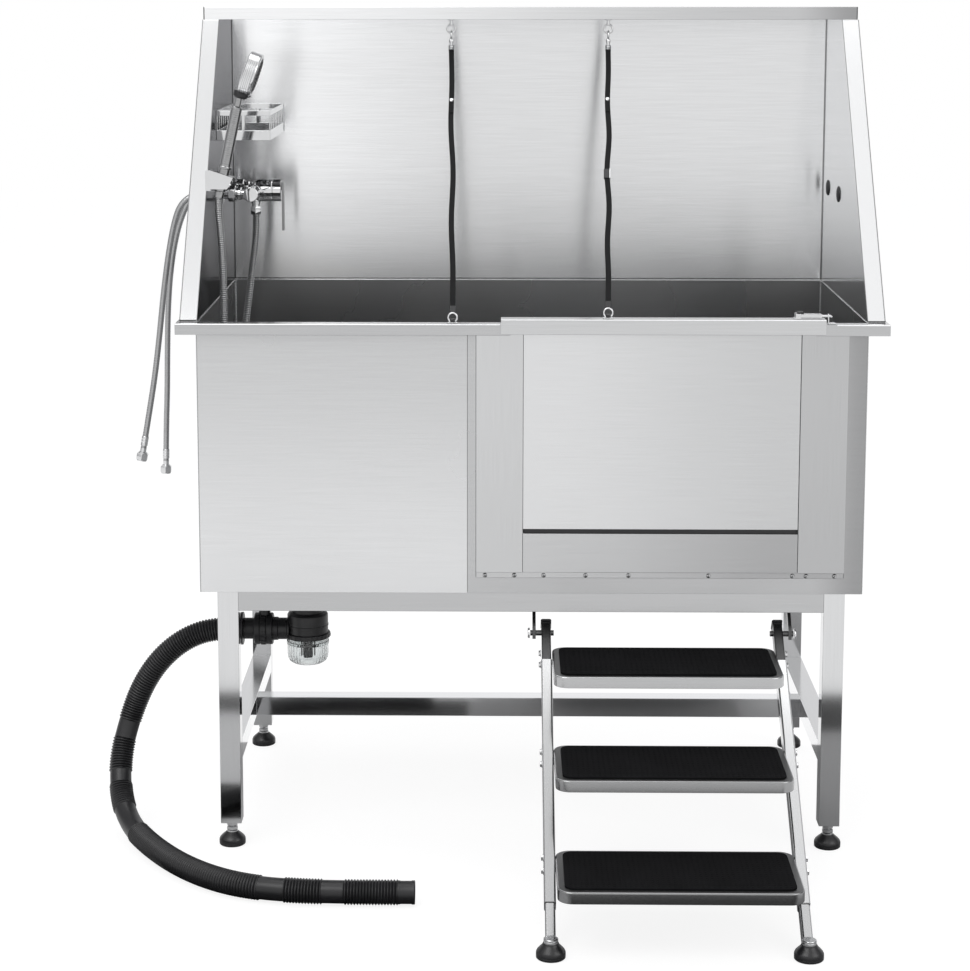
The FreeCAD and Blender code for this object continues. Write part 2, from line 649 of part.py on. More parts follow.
def make_hand_shower():
    """Wedge holder on the left panel, the hand shower in it and its head."""
    lean = slope_angle(25, 116)
    lean_x, lean_z = 25 / math.hypot(25, 116), 116 / math.hypot(25, 116)
    wedge_back = -inner_x + 9
    low_x, low_z = -inner_x + 19.5, S.inlet_height + 26
    wedge = plate("XZ_Plane", ((wedge_back, low_z + 3), (wedge_back + 25, low_z + 3),
                               (wedge_back + 36, low_z + 24), (wedge_back, low_z + 38)), 34,
                  y=HOLDER_Y + 17)
    bore = leaning_rod(low_x - 40 * lean_x, HOLDER_Y, low_z - 40 * lean_z, S.handle_radius + 0.8, 160,
                       lean)
    base = box(-inner_x, HOLDER_Y - 16, low_z, 9, 32, 38)
    keep(fuse(cut(wedge, bore), base), "shower_holder")
    shaft = leaning_rod(low_x, HOLDER_Y, low_z, S.handle_radius, S.handle_length, lean)
    gland = leaning_rod(low_x - 13 * lean_x, HOLDER_Y, low_z - 13 * lean_z, S.handle_radius - 1, 13, lean)
    flange = leaning_rod(low_x + 41 * lean_x, HOLDER_Y, low_z + 41 * lean_z, S.handle_radius + 2.5, 5,
                         lean)
    neck_x = low_x + S.handle_length * lean_x
    neck_z = low_z + S.handle_length * lean_z
    neck = leaning_rod(neck_x, HOLDER_Y, neck_z, S.handle_radius - 3, 28, lean)
    keep(fuse(gland, shaft, flange, neck), "hand_shower_handle")
    head_lean = slope_angle(27, 76)
    face_x, face_z = 76 / math.hypot(27, 76), -27 / math.hypot(27, 76)
    middle_x = neck_x + 28 * lean_x + 12
    middle_z = neck_z + 28 * lean_z + 36
    head = leaning_rod(middle_x - 13 * face_x, HOLDER_Y, middle_z - 13 * face_z, S.head_radius,
                       S.head_depth, slope_angle(76, -27))
    collar = place(box(0, 0, 0, 26, 24, 21), neck_x + 6 * lean_x - 12, HOLDER_Y - 12,
                   neck_z + 6 * lean_z, (0, 1, 0), head_lean)
    seat = leaning_rod(neck_x - 5 * lean_x, HOLDER_Y, neck_z - 5 * lean_z, S.handle_radius - 3, 33.3, lean)
    keep(cut(fuse(head, collar), seat), "hand_shower_head")


def make_caddy():
    """Open wire-sided caddy on the left panel."""
    x, y, z = -inner_x + S.seat_gap, caddy_front, S.caddy_bottom
    tray = cut(box(x, y, z, S.caddy_width, S.caddy_length, 19),
               box(x + 2, y + 2, z + 2, S.caddy_width - 4, S.caddy_length - 4, 19 + OVERRUN))
    band_z = z + S.caddy_height - 10
    band = cut(box(x, y, band_z, S.caddy_width, S.caddy_length, 10),
               box(x + 2, y + 2, band_z - OVERRUN, S.caddy_width - 4, S.caddy_length - 4, 10 + 2 * OVERRUN))
    slats = []
    count = 9
    for index in range(count):
        slat_y = y + (S.caddy_length - 6) / (count - 1) * index
        slats.append(box(x + S.caddy_width - 2, slat_y, z + 10, 2, 6, S.caddy_height - 15))
        slats.append(box(x, slat_y, z + 10, 2, 6, S.caddy_height - 15))
    for end_y in (y, y + S.caddy_length - 2):
        slats.append(box(x + (S.caddy_width - 6) / 2, end_y, z + 10, 6, 2, S.caddy_height - 15))
    keep(fuse(tray, band, *slats), "caddy")


def make_drain():
    """Strainer flange, tailpiece, trap with its clear cup, union and spigot."""
    x, y = S.drain_x, S.drain_y
    floor_top = S.tub_bottom + S.sheet_gauge * 3
    trap_low = S.outlet_height - 21
    trap_top = trap_low + S.trap_height
    neck_low = trap_top + 20
    flange = lathe(((DRAIN_NECK - 4, neck_low - floor_top), (DRAIN_NECK, neck_low - floor_top),
                    (DRAIN_NECK, 0), (42, 0), (42, 2), (DRAIN_NECK - 4, 2)), x, y, floor_top)
    keep(flange, "drain_flange")
    strainer = rod(x, y, floor_top - 6, DRAIN_NECK - 4.5, 6)
    holes = [rod(x + 11 * math.cos(turn * math.pi / 3), y + 11 * math.sin(turn * math.pi / 3),
                 floor_top - 6 - OVERRUN, 3, 6 + 2 * OVERRUN) for turn in range(6)]
    knob = rod(x, y, floor_top, 4, 6)
    keep(fuse(cut(strainer, *holes), knob), "drain_strainer")
    shell = lathe(((DRAIN_NECK, trap_top - trap_low + 20), (31, trap_top - trap_low + 20),
                   (31, trap_top - trap_low), (S.trap_radius, trap_top - trap_low - 3),
                   (S.trap_radius, 14), (S.trap_radius + 4, 14), (S.trap_radius + 4, 0),
                   (S.trap_radius - 3, 0), (S.trap_radius - 3, trap_top - trap_low - 6),
                   (DRAIN_NECK, trap_top - trap_low - 6)), x, y, trap_low)
    branch = rod(x - S.trap_radius - 27, y, S.outlet_height, S.pipe_radius - 2, 30, "x")
    keep(fuse(shell, branch), "trap_body")
    cup = lathe(((S.trap_radius, 0), (S.trap_radius, -20), (S.trap_radius - 5, -38),
                 (S.trap_radius - 16, -S.cup_height), (0, -S.cup_height), (0, -S.cup_height + 2),
                 (S.trap_radius - 17, -S.cup_height + 2), (S.trap_radius - 7, -36),
                 (S.trap_radius - 2, -19), (S.trap_radius - 2, 0)), x, y, trap_low - S.seat_gap)
    keep(cup, "trap_cup")
    union_x = x - S.trap_radius - 62
    union = rod(union_x, y, S.outlet_height, 30, 35, "x")
    socket = rod(union_x - OVERRUN, y, S.outlet_height, S.pipe_radius - 6, 35 + 2 * OVERRUN, "x")
    spigot = rod(union_x + 19, y, S.outlet_height, 11, 62)
    pipe = rod(union_x - 26, y, S.outlet_height, S.pipe_radius, 26, "x")
    collar = rod(union_x - 26, y, S.outlet_height, 31, 5, "x")
    bore = rod(union_x - 26 - OVERRUN, y, S.outlet_height, S.pipe_radius - 6, 40, "x")
    keep(cut(fuse(union, spigot, pipe, collar), socket, bore), "drain_union")


def make_ladder():
    """Ladder that hangs on two pins: stringers, treads, mats, sliding legs and feet."""
    length = hypotenuse(S.ladder_run, S.pivot_height)
    lean = slope_angle(S.pivot_height, S.ladder_run)
    cos, sin = S.ladder_run / length, S.pivot_height / length
    inner = S.ladder_x - S.ladder_gap / 2
    far = S.ladder_x + S.ladder_gap / 2
    left = inner - S.stringer_width

    def along(distance, lift):
        """Point on the ladder line, below the pin by distance and raised square to it by lift."""
        return (S.pivot_y - cos * distance - sin * lift, S.pivot_height - sin * distance + cos * lift)

    outer_end = length - 94
    stringers, legs, feet, caps = [], [], [], []
    wall = 1.5
    for x in (left, far):
        y, z = along(outer_end, -(S.stringer_depth / 2))
        tube = box(x, y, z, S.stringer_width, outer_end + 22, S.stringer_depth, (1, 0, 0), lean)
        y, z = along(outer_end + OVERRUN, -(S.stringer_depth / 2) + wall)
        hollow = box(x + wall, y, z, S.stringer_width - 2 * wall, outer_end + 22 + 2 * OVERRUN,
                     S.stringer_depth - 2 * wall, (1, 0, 0), lean)
        pin_hole = rod(x - OVERRUN, S.pivot_y, S.pivot_height, PIN_RADIUS + 0.3,
                       S.stringer_width + 2 * OVERRUN, "x")
        stringers.append(cut(tube, hollow, pin_hole))
        y, z = along(-22, -(S.stringer_depth / 2))
        caps.append(box(x, y, z, S.stringer_width, 3, S.stringer_depth, (1, 0, 0), lean))
        slide = wall + 0.5
        y, z = along(length - 16, -(S.stringer_depth / 2) + slide)
        legs.append(box(x + slide, y, z, S.stringer_width - 2 * slide, 170, S.stringer_depth - 2 * slide,
                        (1, 0, 0), lean))
        boot = lathe(((0, 0), (22, 0), (22, 15), (17, 26), (0, 26)), x + S.stringer_width / 2,
                     S.pivot_y - S.ladder_run, 0)
        core = box(x + slide, y, z, S.stringer_width - 2 * slide, 170, S.stringer_depth - 2 * slide,
                   (1, 0, 0), lean)
        feet.append(cut(boot, core))
    keep(group(*stringers), "ladder_stringers")
    keep(group(*caps), "ladder_end_caps")
    keep(group(*legs), "ladder_sliding_legs")
    keep(group(*feet), "ladder_feet")

    treads, mats, bolts = [], [], []
    for index in range(STEPS):
        back = S.step_back - S.step_run * index
        top = S.step_top - S.step_rise * index - S.mat_height
        low_y, low_z = back - S.tread_depth, top - S.tread_height
        pan = rounded_block(inner, low_y, low_z, S.ladder_gap, S.tread_depth, S.tread_height,
                            S.tread_corner)
        room = rounded_block(inner + 1.5, low_y + 1.5, low_z - 1.5, S.ladder_gap - 3, S.tread_depth - 3,
                             S.tread_height, S.tread_corner - 1.5)
        treads.append(cut(pan, room))
        mats.append(rounded_block(inner + S.mat_margin, low_y + S.mat_margin, top,
                                  S.ladder_gap - S.mat_margin * 2, S.tread_depth - S.mat_margin * 2,
                                  S.mat_height, S.tread_corner - 8))
        for x in (left - 3, far + S.stringer_width):
            for offset in (-34, -14):
                y_bolt = back + offset
                z_bolt = S.pivot_height + (y_bolt - S.pivot_y) * S.pivot_height / S.ladder_run
                bolts.append(hexagon(x, y_bolt, z_bolt, 5, 3, "x"))
    keep(group(*treads), "ladder_treads")
    keep(group(*mats), "ladder_mats")
    keep(group(*bolts), "ladder_bolts")

    rail_back = -leg_y + S.leg_side
    arms = []
    for x, pin_x in ((left - 15, left - 19), (far + S.stringer_width + 9, far - 4)):
        arm = plate("YZ_Plane", ((S.pivot_y - 9, S.pivot_height - 9), (S.pivot_y + 9, S.pivot_height - 9),
                                 (rail_back + 16, rail_bottom - 6), (rail_back + 16, rail_bottom + 26),
                                 (rail_back, rail_bottom + 26), (rail_back, rail_bottom - 2),
                                 (S.pivot_y - 9, S.pivot_height + 9)), 6, x=x)
        pin = rod(pin_x, S.pivot_y, S.pivot_height, PIN_RADIUS, S.stringer_width + 23, "x")
        arms.append(fuse(arm, pin))
    keep(group(*arms), "ladder_brackets")


def make_straps():
    """Two restraint straps from hooks under the bar to rings on the rim and the door cap."""
    bar_under = splash_top + S.sheet_gauge
    hook_y = wall_y - S.splash_top_depth + S.bar_depth / 2
    fittings = []
    for x in STRAP_TOPS:
        stud = rod(x, hook_y, bar_under - 10, 3, 10)
        eye = ring(x, hook_y, bar_under - 18, 8, 2, "y")
        fittings.append(fuse(stud, eye))
        hook = ring(x, hook_y, bar_under - 29.9, 8, 1.8, "x")
        swivel = rod(x, hook_y, bar_under - 52, 2.5, 14)
        fittings.append(fuse(hook, swivel))
    ring_y = -half_depth + 14
    levels = (S.rim_top, S.rim_top + S.cap_rise)
    rings = []
    for x, level in zip(STRAP_FEET, levels):
        base = box(x - 9, ring_y - 6, level, 18, 12, 2)
        rings.append(fuse(base, ring(x, ring_y, level + 10.5, 8, 1.8, "y")))
    keep(group(*fittings, rings[0]), "strap_fittings")
    keep(rings[1], "door_strap_ring")
    for name, top_x, foot_x, level in zip(("left", "right"), STRAP_TOPS, STRAP_FEET, levels):
        start = FreeCAD.Vector(top_x, number(hook_y), number(bar_under) - 52.5)
        end = FreeCAD.Vector(foot_x, number(ring_y) + 6, number(level) + 21.5)
        straight_bar(f"strap_{name}", start, end, S.strap_width.value, S.strap_gauge.value)


def make_hoses():
    """Supply hoses behind the left panel, the shower hose and the drain hose."""
    start_x = -number(wall_x) - 16
    near_y = number(inlet_y) - number(S.inlet_pitch) / 2
    far_y = number(inlet_y) + number(S.inlet_pitch) / 2
    radius = number(S.supply_radius)
    near = [(start_x, near_y, 1178), (-650, near_y, 1178), (-678, near_y, 1160), (-692, near_y, 1126),
            (-705, near_y, 1061), (-716, near_y, 985), (-725, near_y, 905), (-736, near_y, 820),
            (-749, near_y, 745), (-762, near_y, 672)]
    far = [(start_x, far_y, 1178), (-649, far_y, 1178), (-676, far_y, 1161), (-693, far_y, 1131),
           (-709, far_y, 1085), (-722, far_y, 1015), (-729, far_y, 935), (-732, far_y, 845),
           (-734, far_y, 755), (-737.5, far_y, 684), (-739, far_y, 616)]
    cord_tube("supply_hose_near", near, radius)
    cord_tube("supply_hose_far", far, radius)
    nuts = []
    for (x, y, z) in (near[-1], far[-1]):
        ferrule = rod(x, y, z - 10, S.supply_radius + 1, 10)
        nut = hexagon(x, y, z - 24, S.supply_radius + 6, 14)
        nuts.append(cut(fuse(ferrule, nut), rod(x, y, z - 24 - OVERRUN, 9.3, 10 + OVERRUN)))
    keep(group(*nuts), "supply_hose_nuts")
    shower = [(-540, 165, 1130), (-540, 165, 1092), (-547, 165, 1040), (-556, 165, 972),
              (-565, 165, 902), (-570, 165, 832), (-572, 164, 762), (-572, 160, 690), (-571, 141, 612),
              (-571, 86, 553), (-571, 11, 530), (-571, -64, 553), (-571, -121, 608), (-572, -140, 686),
              (-573, -144, 765), (-572, -145, 850), (-572, -144, 930), (-573, -143, 1004),
              (-577, -143, 1074), (-586, -143, 1131), (-589.2, -143, 1164), SHOWER_END]
    cord_tube("shower_hose", shower, number(S.shower_radius))
    drain = [(-546.5, -150, 372), (-597, -150, 372), (-650, -150, 354), (-696, -151, 318),
             (-732, -151, 268), (-758, -151, 206), (-777, -178, 130), (-770, -228, 64), (-741, -292, 30),
             (-690, -378, 23), (-626, -469, 22.5), (-557, -535, 22.5), (-485, -573, 22.5),
             (-405, -588, 22.5), (-330, -591.5, 22.5), (-271, -592, 22.5), (-232, -592, 22.5)]
    cord_tube("drain_hose", drain, number(S.drain_hose_radius))
    cuff_radius = number(S.drain_hose_radius) - 2
    cuff = rod(-232, -592, 22.5, cuff_radius, 30, "x")
    keep(cut(cuff, rod(-232 + 2, -592, 22.5, cuff_radius - 3, 30 + OVERRUN, "x")), "drain_hose_cuff")


make_stand()
make_tub()
make_splash()
make_door()
make_mixer()
make_hand_shower()
make_caddy()
make_drain()
make_ladder()
make_straps()
make_hoses()
doc.recompute()

failed = [item.Label for item in doc.Objects if {"Invalid", "Error"} & set(item.State)]
failed += [item.Label for item in SUBPARTS if item.Shape.isNull() or not item.Shape.isValid()]
if failed:
    raise SystemExit(f"these did not build: {failed}")
os.makedirs("parts", exist_ok=True)
for item in SUBPARTS:
    item.Shape.exportStep(f"parts/{item.Label}.step")
print(len(SUBPARTS), "sub-parts")
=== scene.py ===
"""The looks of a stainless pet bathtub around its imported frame. All lengths are in metres."""

import json
import math

import bmesh
import bpy
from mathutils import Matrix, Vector

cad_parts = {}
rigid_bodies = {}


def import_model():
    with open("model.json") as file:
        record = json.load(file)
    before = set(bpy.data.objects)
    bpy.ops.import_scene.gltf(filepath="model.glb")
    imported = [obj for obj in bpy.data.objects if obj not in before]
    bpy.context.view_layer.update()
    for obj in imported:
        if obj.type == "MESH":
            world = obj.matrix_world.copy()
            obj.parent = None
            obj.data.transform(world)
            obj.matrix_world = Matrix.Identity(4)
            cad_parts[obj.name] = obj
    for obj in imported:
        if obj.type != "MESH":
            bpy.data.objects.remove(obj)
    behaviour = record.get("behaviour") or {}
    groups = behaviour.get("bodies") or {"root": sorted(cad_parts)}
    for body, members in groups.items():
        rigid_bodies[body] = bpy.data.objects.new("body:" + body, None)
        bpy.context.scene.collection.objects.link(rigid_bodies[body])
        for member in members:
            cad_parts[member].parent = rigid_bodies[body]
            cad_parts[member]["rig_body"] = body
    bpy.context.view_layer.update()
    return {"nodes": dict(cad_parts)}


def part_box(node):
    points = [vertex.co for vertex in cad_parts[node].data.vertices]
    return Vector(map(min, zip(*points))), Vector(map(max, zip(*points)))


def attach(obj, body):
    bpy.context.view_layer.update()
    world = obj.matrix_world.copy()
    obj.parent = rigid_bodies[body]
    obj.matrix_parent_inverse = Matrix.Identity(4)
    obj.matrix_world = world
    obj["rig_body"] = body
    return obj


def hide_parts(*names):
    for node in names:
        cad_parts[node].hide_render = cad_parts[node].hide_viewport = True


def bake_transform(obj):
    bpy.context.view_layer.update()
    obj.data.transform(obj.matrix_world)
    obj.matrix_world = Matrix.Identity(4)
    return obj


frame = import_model()

MM = 0.001
X, Y, Z = Vector((1, 0, 0)), Vector((0, 1, 0)), Vector((0, 0, 1))


# ---------------------------------------------------------------- materials

def feed(material, node, inputs):
    """Gives each input a value or the socket that feeds it."""
    for key, value in inputs.items():
        if isinstance(value, bpy.types.NodeSocket):
            material.node_tree.links.new(value, node.inputs[key])
        else:
            node.inputs[key].default_value = value
    return node


def add_node(material, kind, inputs=None, **values):
    """A node with its named settings and inputs, and inputs fed by other nodes."""
    node = material.node_tree.nodes.new("ShaderNode" + kind)
    for key, value in values.items():
        if key in node.inputs:
            node.inputs[key].default_value = value
        else:
            setattr(node, key, value)
    return feed(material, node, inputs or {})


def shader_of(material):
    return material.node_tree.nodes["Principled BSDF"]


def feed_shader(material, **inputs):
    """Gives inputs of the shader, named with _ for each space, a value or the socket that feeds it."""
    feed(material, shader_of(material), {name.replace("_", " "): value for name, value in inputs.items()})


def source_of(material, name):
    """The socket that feeds an input of the shader, or None."""
    links = shader_of(material).inputs[name].links
    return links[0].from_socket if links else None


def new_material(name, color, metallic, roughness):
    """A principled material with its own constants."""
    material = bpy.data.materials.new(name)
    material.use_nodes = True
    feed_shader(material, Base_Color=(*color, 1), Metallic=metallic, Roughness=roughness)
    return material


def pattern(material, kind, stretch, **values):
    """A procedural texture in object space, stretched along each axis."""
    place = add_node(material, "TexCoord")
    mapping = add_node(material, "Mapping", {"Vector": place.outputs["Object"], "Scale": stretch})
    texture = add_node(material, kind, {"Vector": mapping.outputs["Vector"]}, **values)
    return texture.outputs["Fac" if "Fac" in texture.outputs else 0]


def vary_roughness(material, source, low, high):
    """Roughness that follows a texture between two values."""
    span = add_node(material, "MapRange", {"Value": source, "To Min": low, "To Max": high})
    feed_shader(material, Roughness=span.outputs["Result"])


def vary_color(material, source, dark, light, start=0.3, stop=0.7):
    """A base colour that follows a texture between two colours."""
    ramp = add_node(material, "ValToRGB", {"Fac": source})
    for element, position, color in zip(ramp.color_ramp.elements, (start, stop), (dark, light)):
        element.position = position
        element.color = (*color, 1)
    feed_shader(material, Base_Color=ramp.outputs["Color"])


def add_bump(material, source, strength, distance):
    """Relief on the surface, on top of any relief already there."""
    bump = add_node(material, "Bump", {"Height": source}, Strength=strength, Distance=distance)
    below = source_of(material, "Normal")
    if below:
        feed(material, bump, {"Normal": below})
    feed_shader(material, Normal=bump.outputs["Normal"])


def painted_light_fade(material, axis, start, end, first, last):
    """Painted reflection and shade: a brightness that changes evenly along an axis, from one factor to another."""
    place = add_node(material, "TexCoord")
    parts = add_node(material, "SeparateXYZ", {"Vector": place.outputs["Object"]})
    span = add_node(material, "MapRange", {"Value": parts.outputs[axis], "From Min": start, "From Max": end,
                                           "To Min": first, "To Max": last}, interpolation_type="SMOOTHSTEP")
    scale = add_node(material, "VectorMath", {0: source_of(material, "Base Color"), "Scale": span.outputs["Result"]},
                     operation="SCALE")
    feed_shader(material, Base_Color=scale.outputs["Vector"])


def steel(name, tone, roughness, grain, relief=0.25, patch=0.03, rolled=0.0, fades=()):
    """Stainless steel with a brushed grain along one axis and faint handling marks."""
    color = (tone, tone * 1.006, tone * 1.016)
    material = new_material(name, color, 1, roughness)
    fine = pattern(material, "TexNoise", grain, Scale=1, Detail=4, Roughness=0.65)
    broad = pattern(material, "TexNoise", (3, 3, 2), Scale=1.3, Detail=3, Roughness=0.5)
    dark = tuple(value * (1 - patch) for value in color)
    light = tuple(min(1, value * (1 + patch)) for value in color)
    vary_color(material, fine, dark, light)
    vary_roughness(material, broad, roughness * 0.85, roughness * 1.15)
    add_bump(material, fine, relief, 0.00006)
    # The fades paint reflection and shade into the base colour along the given axes.
    for fade in fades:
        painted_light_fade(material, *fade)
    if rolled:
        tangent = add_node(material, "Tangent", direction_type="RADIAL", axis="Z")
        feed_shader(material, Anisotropic=rolled, Anisotropic_Rotation=0.25, Tangent=tangent.outputs["Tangent"])
    return material


def moulded(name, color, roughness, grain_scale=900, relief=0.00008):
    """Moulded plastic or rubber with a fine grain and slightly uneven gloss."""
    material = new_material(name, color, 0, roughness)
    grain = pattern(material, "TexNoise", (1, 1, 1), Scale=grain_scale, Detail=2)
    broad = pattern(material, "TexNoise", (1, 1, 1), Scale=18, Detail=4)
    lighter = tuple(value * 1.6 + 0.0015 for value in color)
    vary_color(material, broad, color, lighter)
    vary_roughness(material, broad, roughness * 0.85, min(1, roughness * 1.2))
    add_bump(material, grain, 0.4, relief)
    return material


def mat_rubber():
    """Anti-slip rubber with rows of small raised studs."""
    material = moulded("mat_rubber", (0.0035, 0.0035, 0.004), 0.8)
    feed_shader(material, Specular_IOR_Level=0.06)
    studs = pattern(material, "TexVoronoi", (1, 1, 0.01), Scale=260, Randomness=0.0)
    add_bump(material, studs, 0.5, -0.0006)
    return material


def woven():
    """Black webbing: ribs along the strap crossed by tight picks."""
    material = moulded("woven_webbing", (0.003, 0.003, 0.0035), 0.72)
    along = pattern(material, "TexWave", (1, 1, 1), Scale=260, Distortion=0.4, Detail=1)
    across = pattern(material, "TexWave", (1, 1, 1), Scale=330, Distortion=0.4, Detail=1, bands_direction="Z")
    add_bump(material, along, 0.6, 0.0003)
    add_bump(material, across, 0.6, 0.0003)
    feed_shader(material, Sheen_Weight=0.04, Specular_IOR_Level=0.2)
    return material


def clear():
    """Clear plastic with faint flow marks."""
    material = new_material("clear_plastic", (0.82, 0.84, 0.84), 0, 0.06)
    feed_shader(material, Transmission_Weight=1, IOR=1.49)
    flow = pattern(material, "TexNoise", (1, 1, 2), Scale=60, Detail=2)
    vary_roughness(material, flow, 0.03, 0.10)
    add_bump(material, flow, 0.15, 0.0006)
    return material


# The shades and fades below stand for reflections in one photograph. They are no measured finishes.
ALONG_X = (9, 700, 700)
ALONG_Y = (700, 9, 700)
ALONG_Z = (700, 700, 9)
ACROSS = 0.8
# The front panel darkens towards the rim: painted shade under the rim's lip. The corner panel is a darker copy of the
# same sheet. It, the posts, the door and the sill darken towards the right, and the posts also towards the floor:
# painted reflection.
PANEL = steel("front_panel_sheet", 0.66, 0.26, ALONG_X, rolled=ACROSS, fades=(("Z", 0.50, 0.985, 1.08, 0.84),))
PANEL_RIGHT = steel("corner_panel_sheet", 0.46, 0.26, ALONG_X, rolled=ACROSS, fades=(("X", 0.50, 0.60, 1.12, 0.72),))
POST = steel("door_post_sheet", 0.58, 0.22, ALONG_Z, fades=(("X", -0.10, 0.60, 1.03, 0.84), ("Z", 0.52, 0.9, 0.9, 1)))
DOOR = steel("door_sheet", 0.66, 0.24, ALONG_X, rolled=ACROSS, fades=(("X", 0.0, 0.5, 1.05, 0.86),))
SILL = steel("sill_sheet", 0.54, 0.24, ALONG_X, rolled=ACROSS, fades=(("X", 0.0, 0.5, 1.03, 0.76),))
# The back sheet is brighter to the left and near the rim: painted reflection.
BACK_SHEET = steel("back_sheet", 0.80, 0.20, ALONG_X, patch=0.045, rolled=0.95,
                   fades=(("X", -0.60, -0.10, 1.10, 0.92), ("Z", 0.985, 1.15, 1.22, 1.0)))
# The side sheets are one steel: the left one darker, with a dimmer reflection tint and darker towards the rim, the
# right one light: painted reflection.
LEFT_SHEET = steel("left_side_sheet", 0.40, 0.12, ALONG_Y, fades=(("Z", 1.0, 1.5, 0.8, 1.05),))
feed_shader(LEFT_SHEET, Specular_Tint=(0.42, 0.42, 0.43, 1))
RIGHT_SHEET = steel("right_side_sheet", 0.88, 0.12, ALONG_Y)
# The outer walls brighten upwards and darken towards the right and the back: painted reflection.
OUTER_BACK = steel("outer_back_sheet", 0.46, 0.30, (5, 260, 260), 0.08, 0.07, rolled=ACROSS,
                   fades=(("Z", 0.5, 1.5, 0.84, 1.06), ("X", -0.6, 0.6, 1.05, 0.93)))
OUTER_SIDE = steel("outer_side_sheet", 0.44, 0.28, (260, 5, 260), 0.08, 0.07,
                   fades=(("Z", 0.5, 1.5, 0.86, 1.06), ("Y", -0.3, 0.3, 1.04, 0.94)))
# The flanges brighten towards the right: painted reflection.
FLANGE = steel("flange_sheet", 0.78, 0.15, ALONG_Z, fades=(("X", -0.6, 0.6, 0.98, 1.12),))
# A darker steel for the faces inside the tub: painted shade.
TUB_SHEET = steel("tub_inside_sheet", 0.40, 0.28, ALONG_X, 0.08)
POLISHED = steel("polished_sheet", 0.50, 0.16, ALONG_X)
CAP = steel("cap_sheet", 0.58, 0.16, ALONG_X)
# The top bar darkens towards the right and more at its right end: painted reflection.
BAR = steel("bar_sheet", 0.74, 0.16, ALONG_X, fades=(("X", -0.55, 0.50, 1.22, 0.74), ("X", 0.50, 0.63, 1.0, 0.62)))
# The stand's tubes are one steel in tones that differ by place and direction: painted shade and reflection, darkest on
# the top rails under the tub.
RAIL = steel("rail_tube", 0.46, 0.14, ALONG_X, 0.1)
TUBE_Z = steel("upright_tube", 0.62, 0.09, ALONG_Z, 0.1)
TUBE_X = steel("long_tube", 0.84, 0.09, ALONG_X, 0.1)
TUBE_Y = steel("deep_tube", 0.60, 0.12, ALONG_Y, 0.1)
# The ladder tubes brighten towards the right: painted reflection.
STRINGER = steel("ladder_tube", 0.62, 0.16, ALONG_Y, 0.15, fades=(("X", 0.03, 0.45, 0.82, 1.08),))
WELD = steel("weld_bead", 0.62, 0.28, (300, 300, 300), 0.8, 0.12)
BRIGHT = steel("bright_steel", 0.66, 0.18, (400, 400, 400), 0.3, 0.06)
SATIN = steel("satin_steel", 0.42, 0.24, (60, 60, 900), 0.4, 0.12)
HEAD_STEEL = steel("head_steel", 0.66, 0.15, (40, 40, 40), 0.05, 0.03)
LEG_STEEL = steel("leg_tube", 0.56, 0.2, ALONG_Y, 0.2, 0.06)
GRIP = steel("grip_steel", 0.34, 0.20, (60, 60, 900), 0.4, 0.12)
# Dark steel for the ladder's dark parts, and for painted shade in gaps, along edges, in screw slots and in holes.
DARK_STEEL = steel("dark_steel", 0.10, 0.26, ALONG_Y, 0.3, 0.2)
# A dark steel for lines of painted shade along sheet edges and corners, and for painted shade on the mixer lever.
SHADE_STEEL = steel("painted_shade_steel", 0.24, 0.30, ALONG_X, 0.3, 0.1)
CHROME = steel("chrome", 0.66, 0.06, (40, 40, 40), 0.05, 0.02)
BRAID = steel("steel_braid", 0.40, 0.28, (500, 500, 500), 0.5, 0.18)
# The step pans darken towards the floor, and their level faces take a dark steel: painted reflection.
STEP = steel("step_pan", 0.46, 0.20, ALONG_X, fades=(("Z", 0.20, 0.39, 0.62, 1.0),))
STEP_TOP = steel("step_margin", 0.20, 0.30, ALONG_X)
BLACK_PLASTIC = moulded("black_plastic", (0.007, 0.007, 0.008), 0.40)
HOSE_PLASTIC = moulded("hose_plastic", (0.007, 0.007, 0.008), 0.38)
GLOSS_BLACK = moulded("black_nylon", (0.008, 0.008, 0.009), 0.30)
RUBBER = moulded("black_rubber", (0.010, 0.010, 0.011), 0.60)
MAT_RUBBER = mat_rubber()
WEBBING = woven()
CLEAR = clear()


# ---------------------------------------------------------------- making pieces

def rounded_section(width, depth, radius, steps=4):
    """Corner points of a rectangle with rounded corners, about its middle."""
    points = []
    for quarter, (sx, sy) in enumerate(((1, 1), (-1, 1), (-1, -1), (1, -1))):
        for step in range(steps + 1):
            turn = math.pi / 2 * (quarter + step / steps)
            points.append((sx * (width / 2 - radius) + radius * math.cos(turn),
                           sy * (depth / 2 - radius) + radius * math.sin(turn)))
    return points


def side_of(way):
    """A direction square to a given one."""
    other = X if abs(way.x) < 0.8 else Y
    return way.cross(other).normalized()


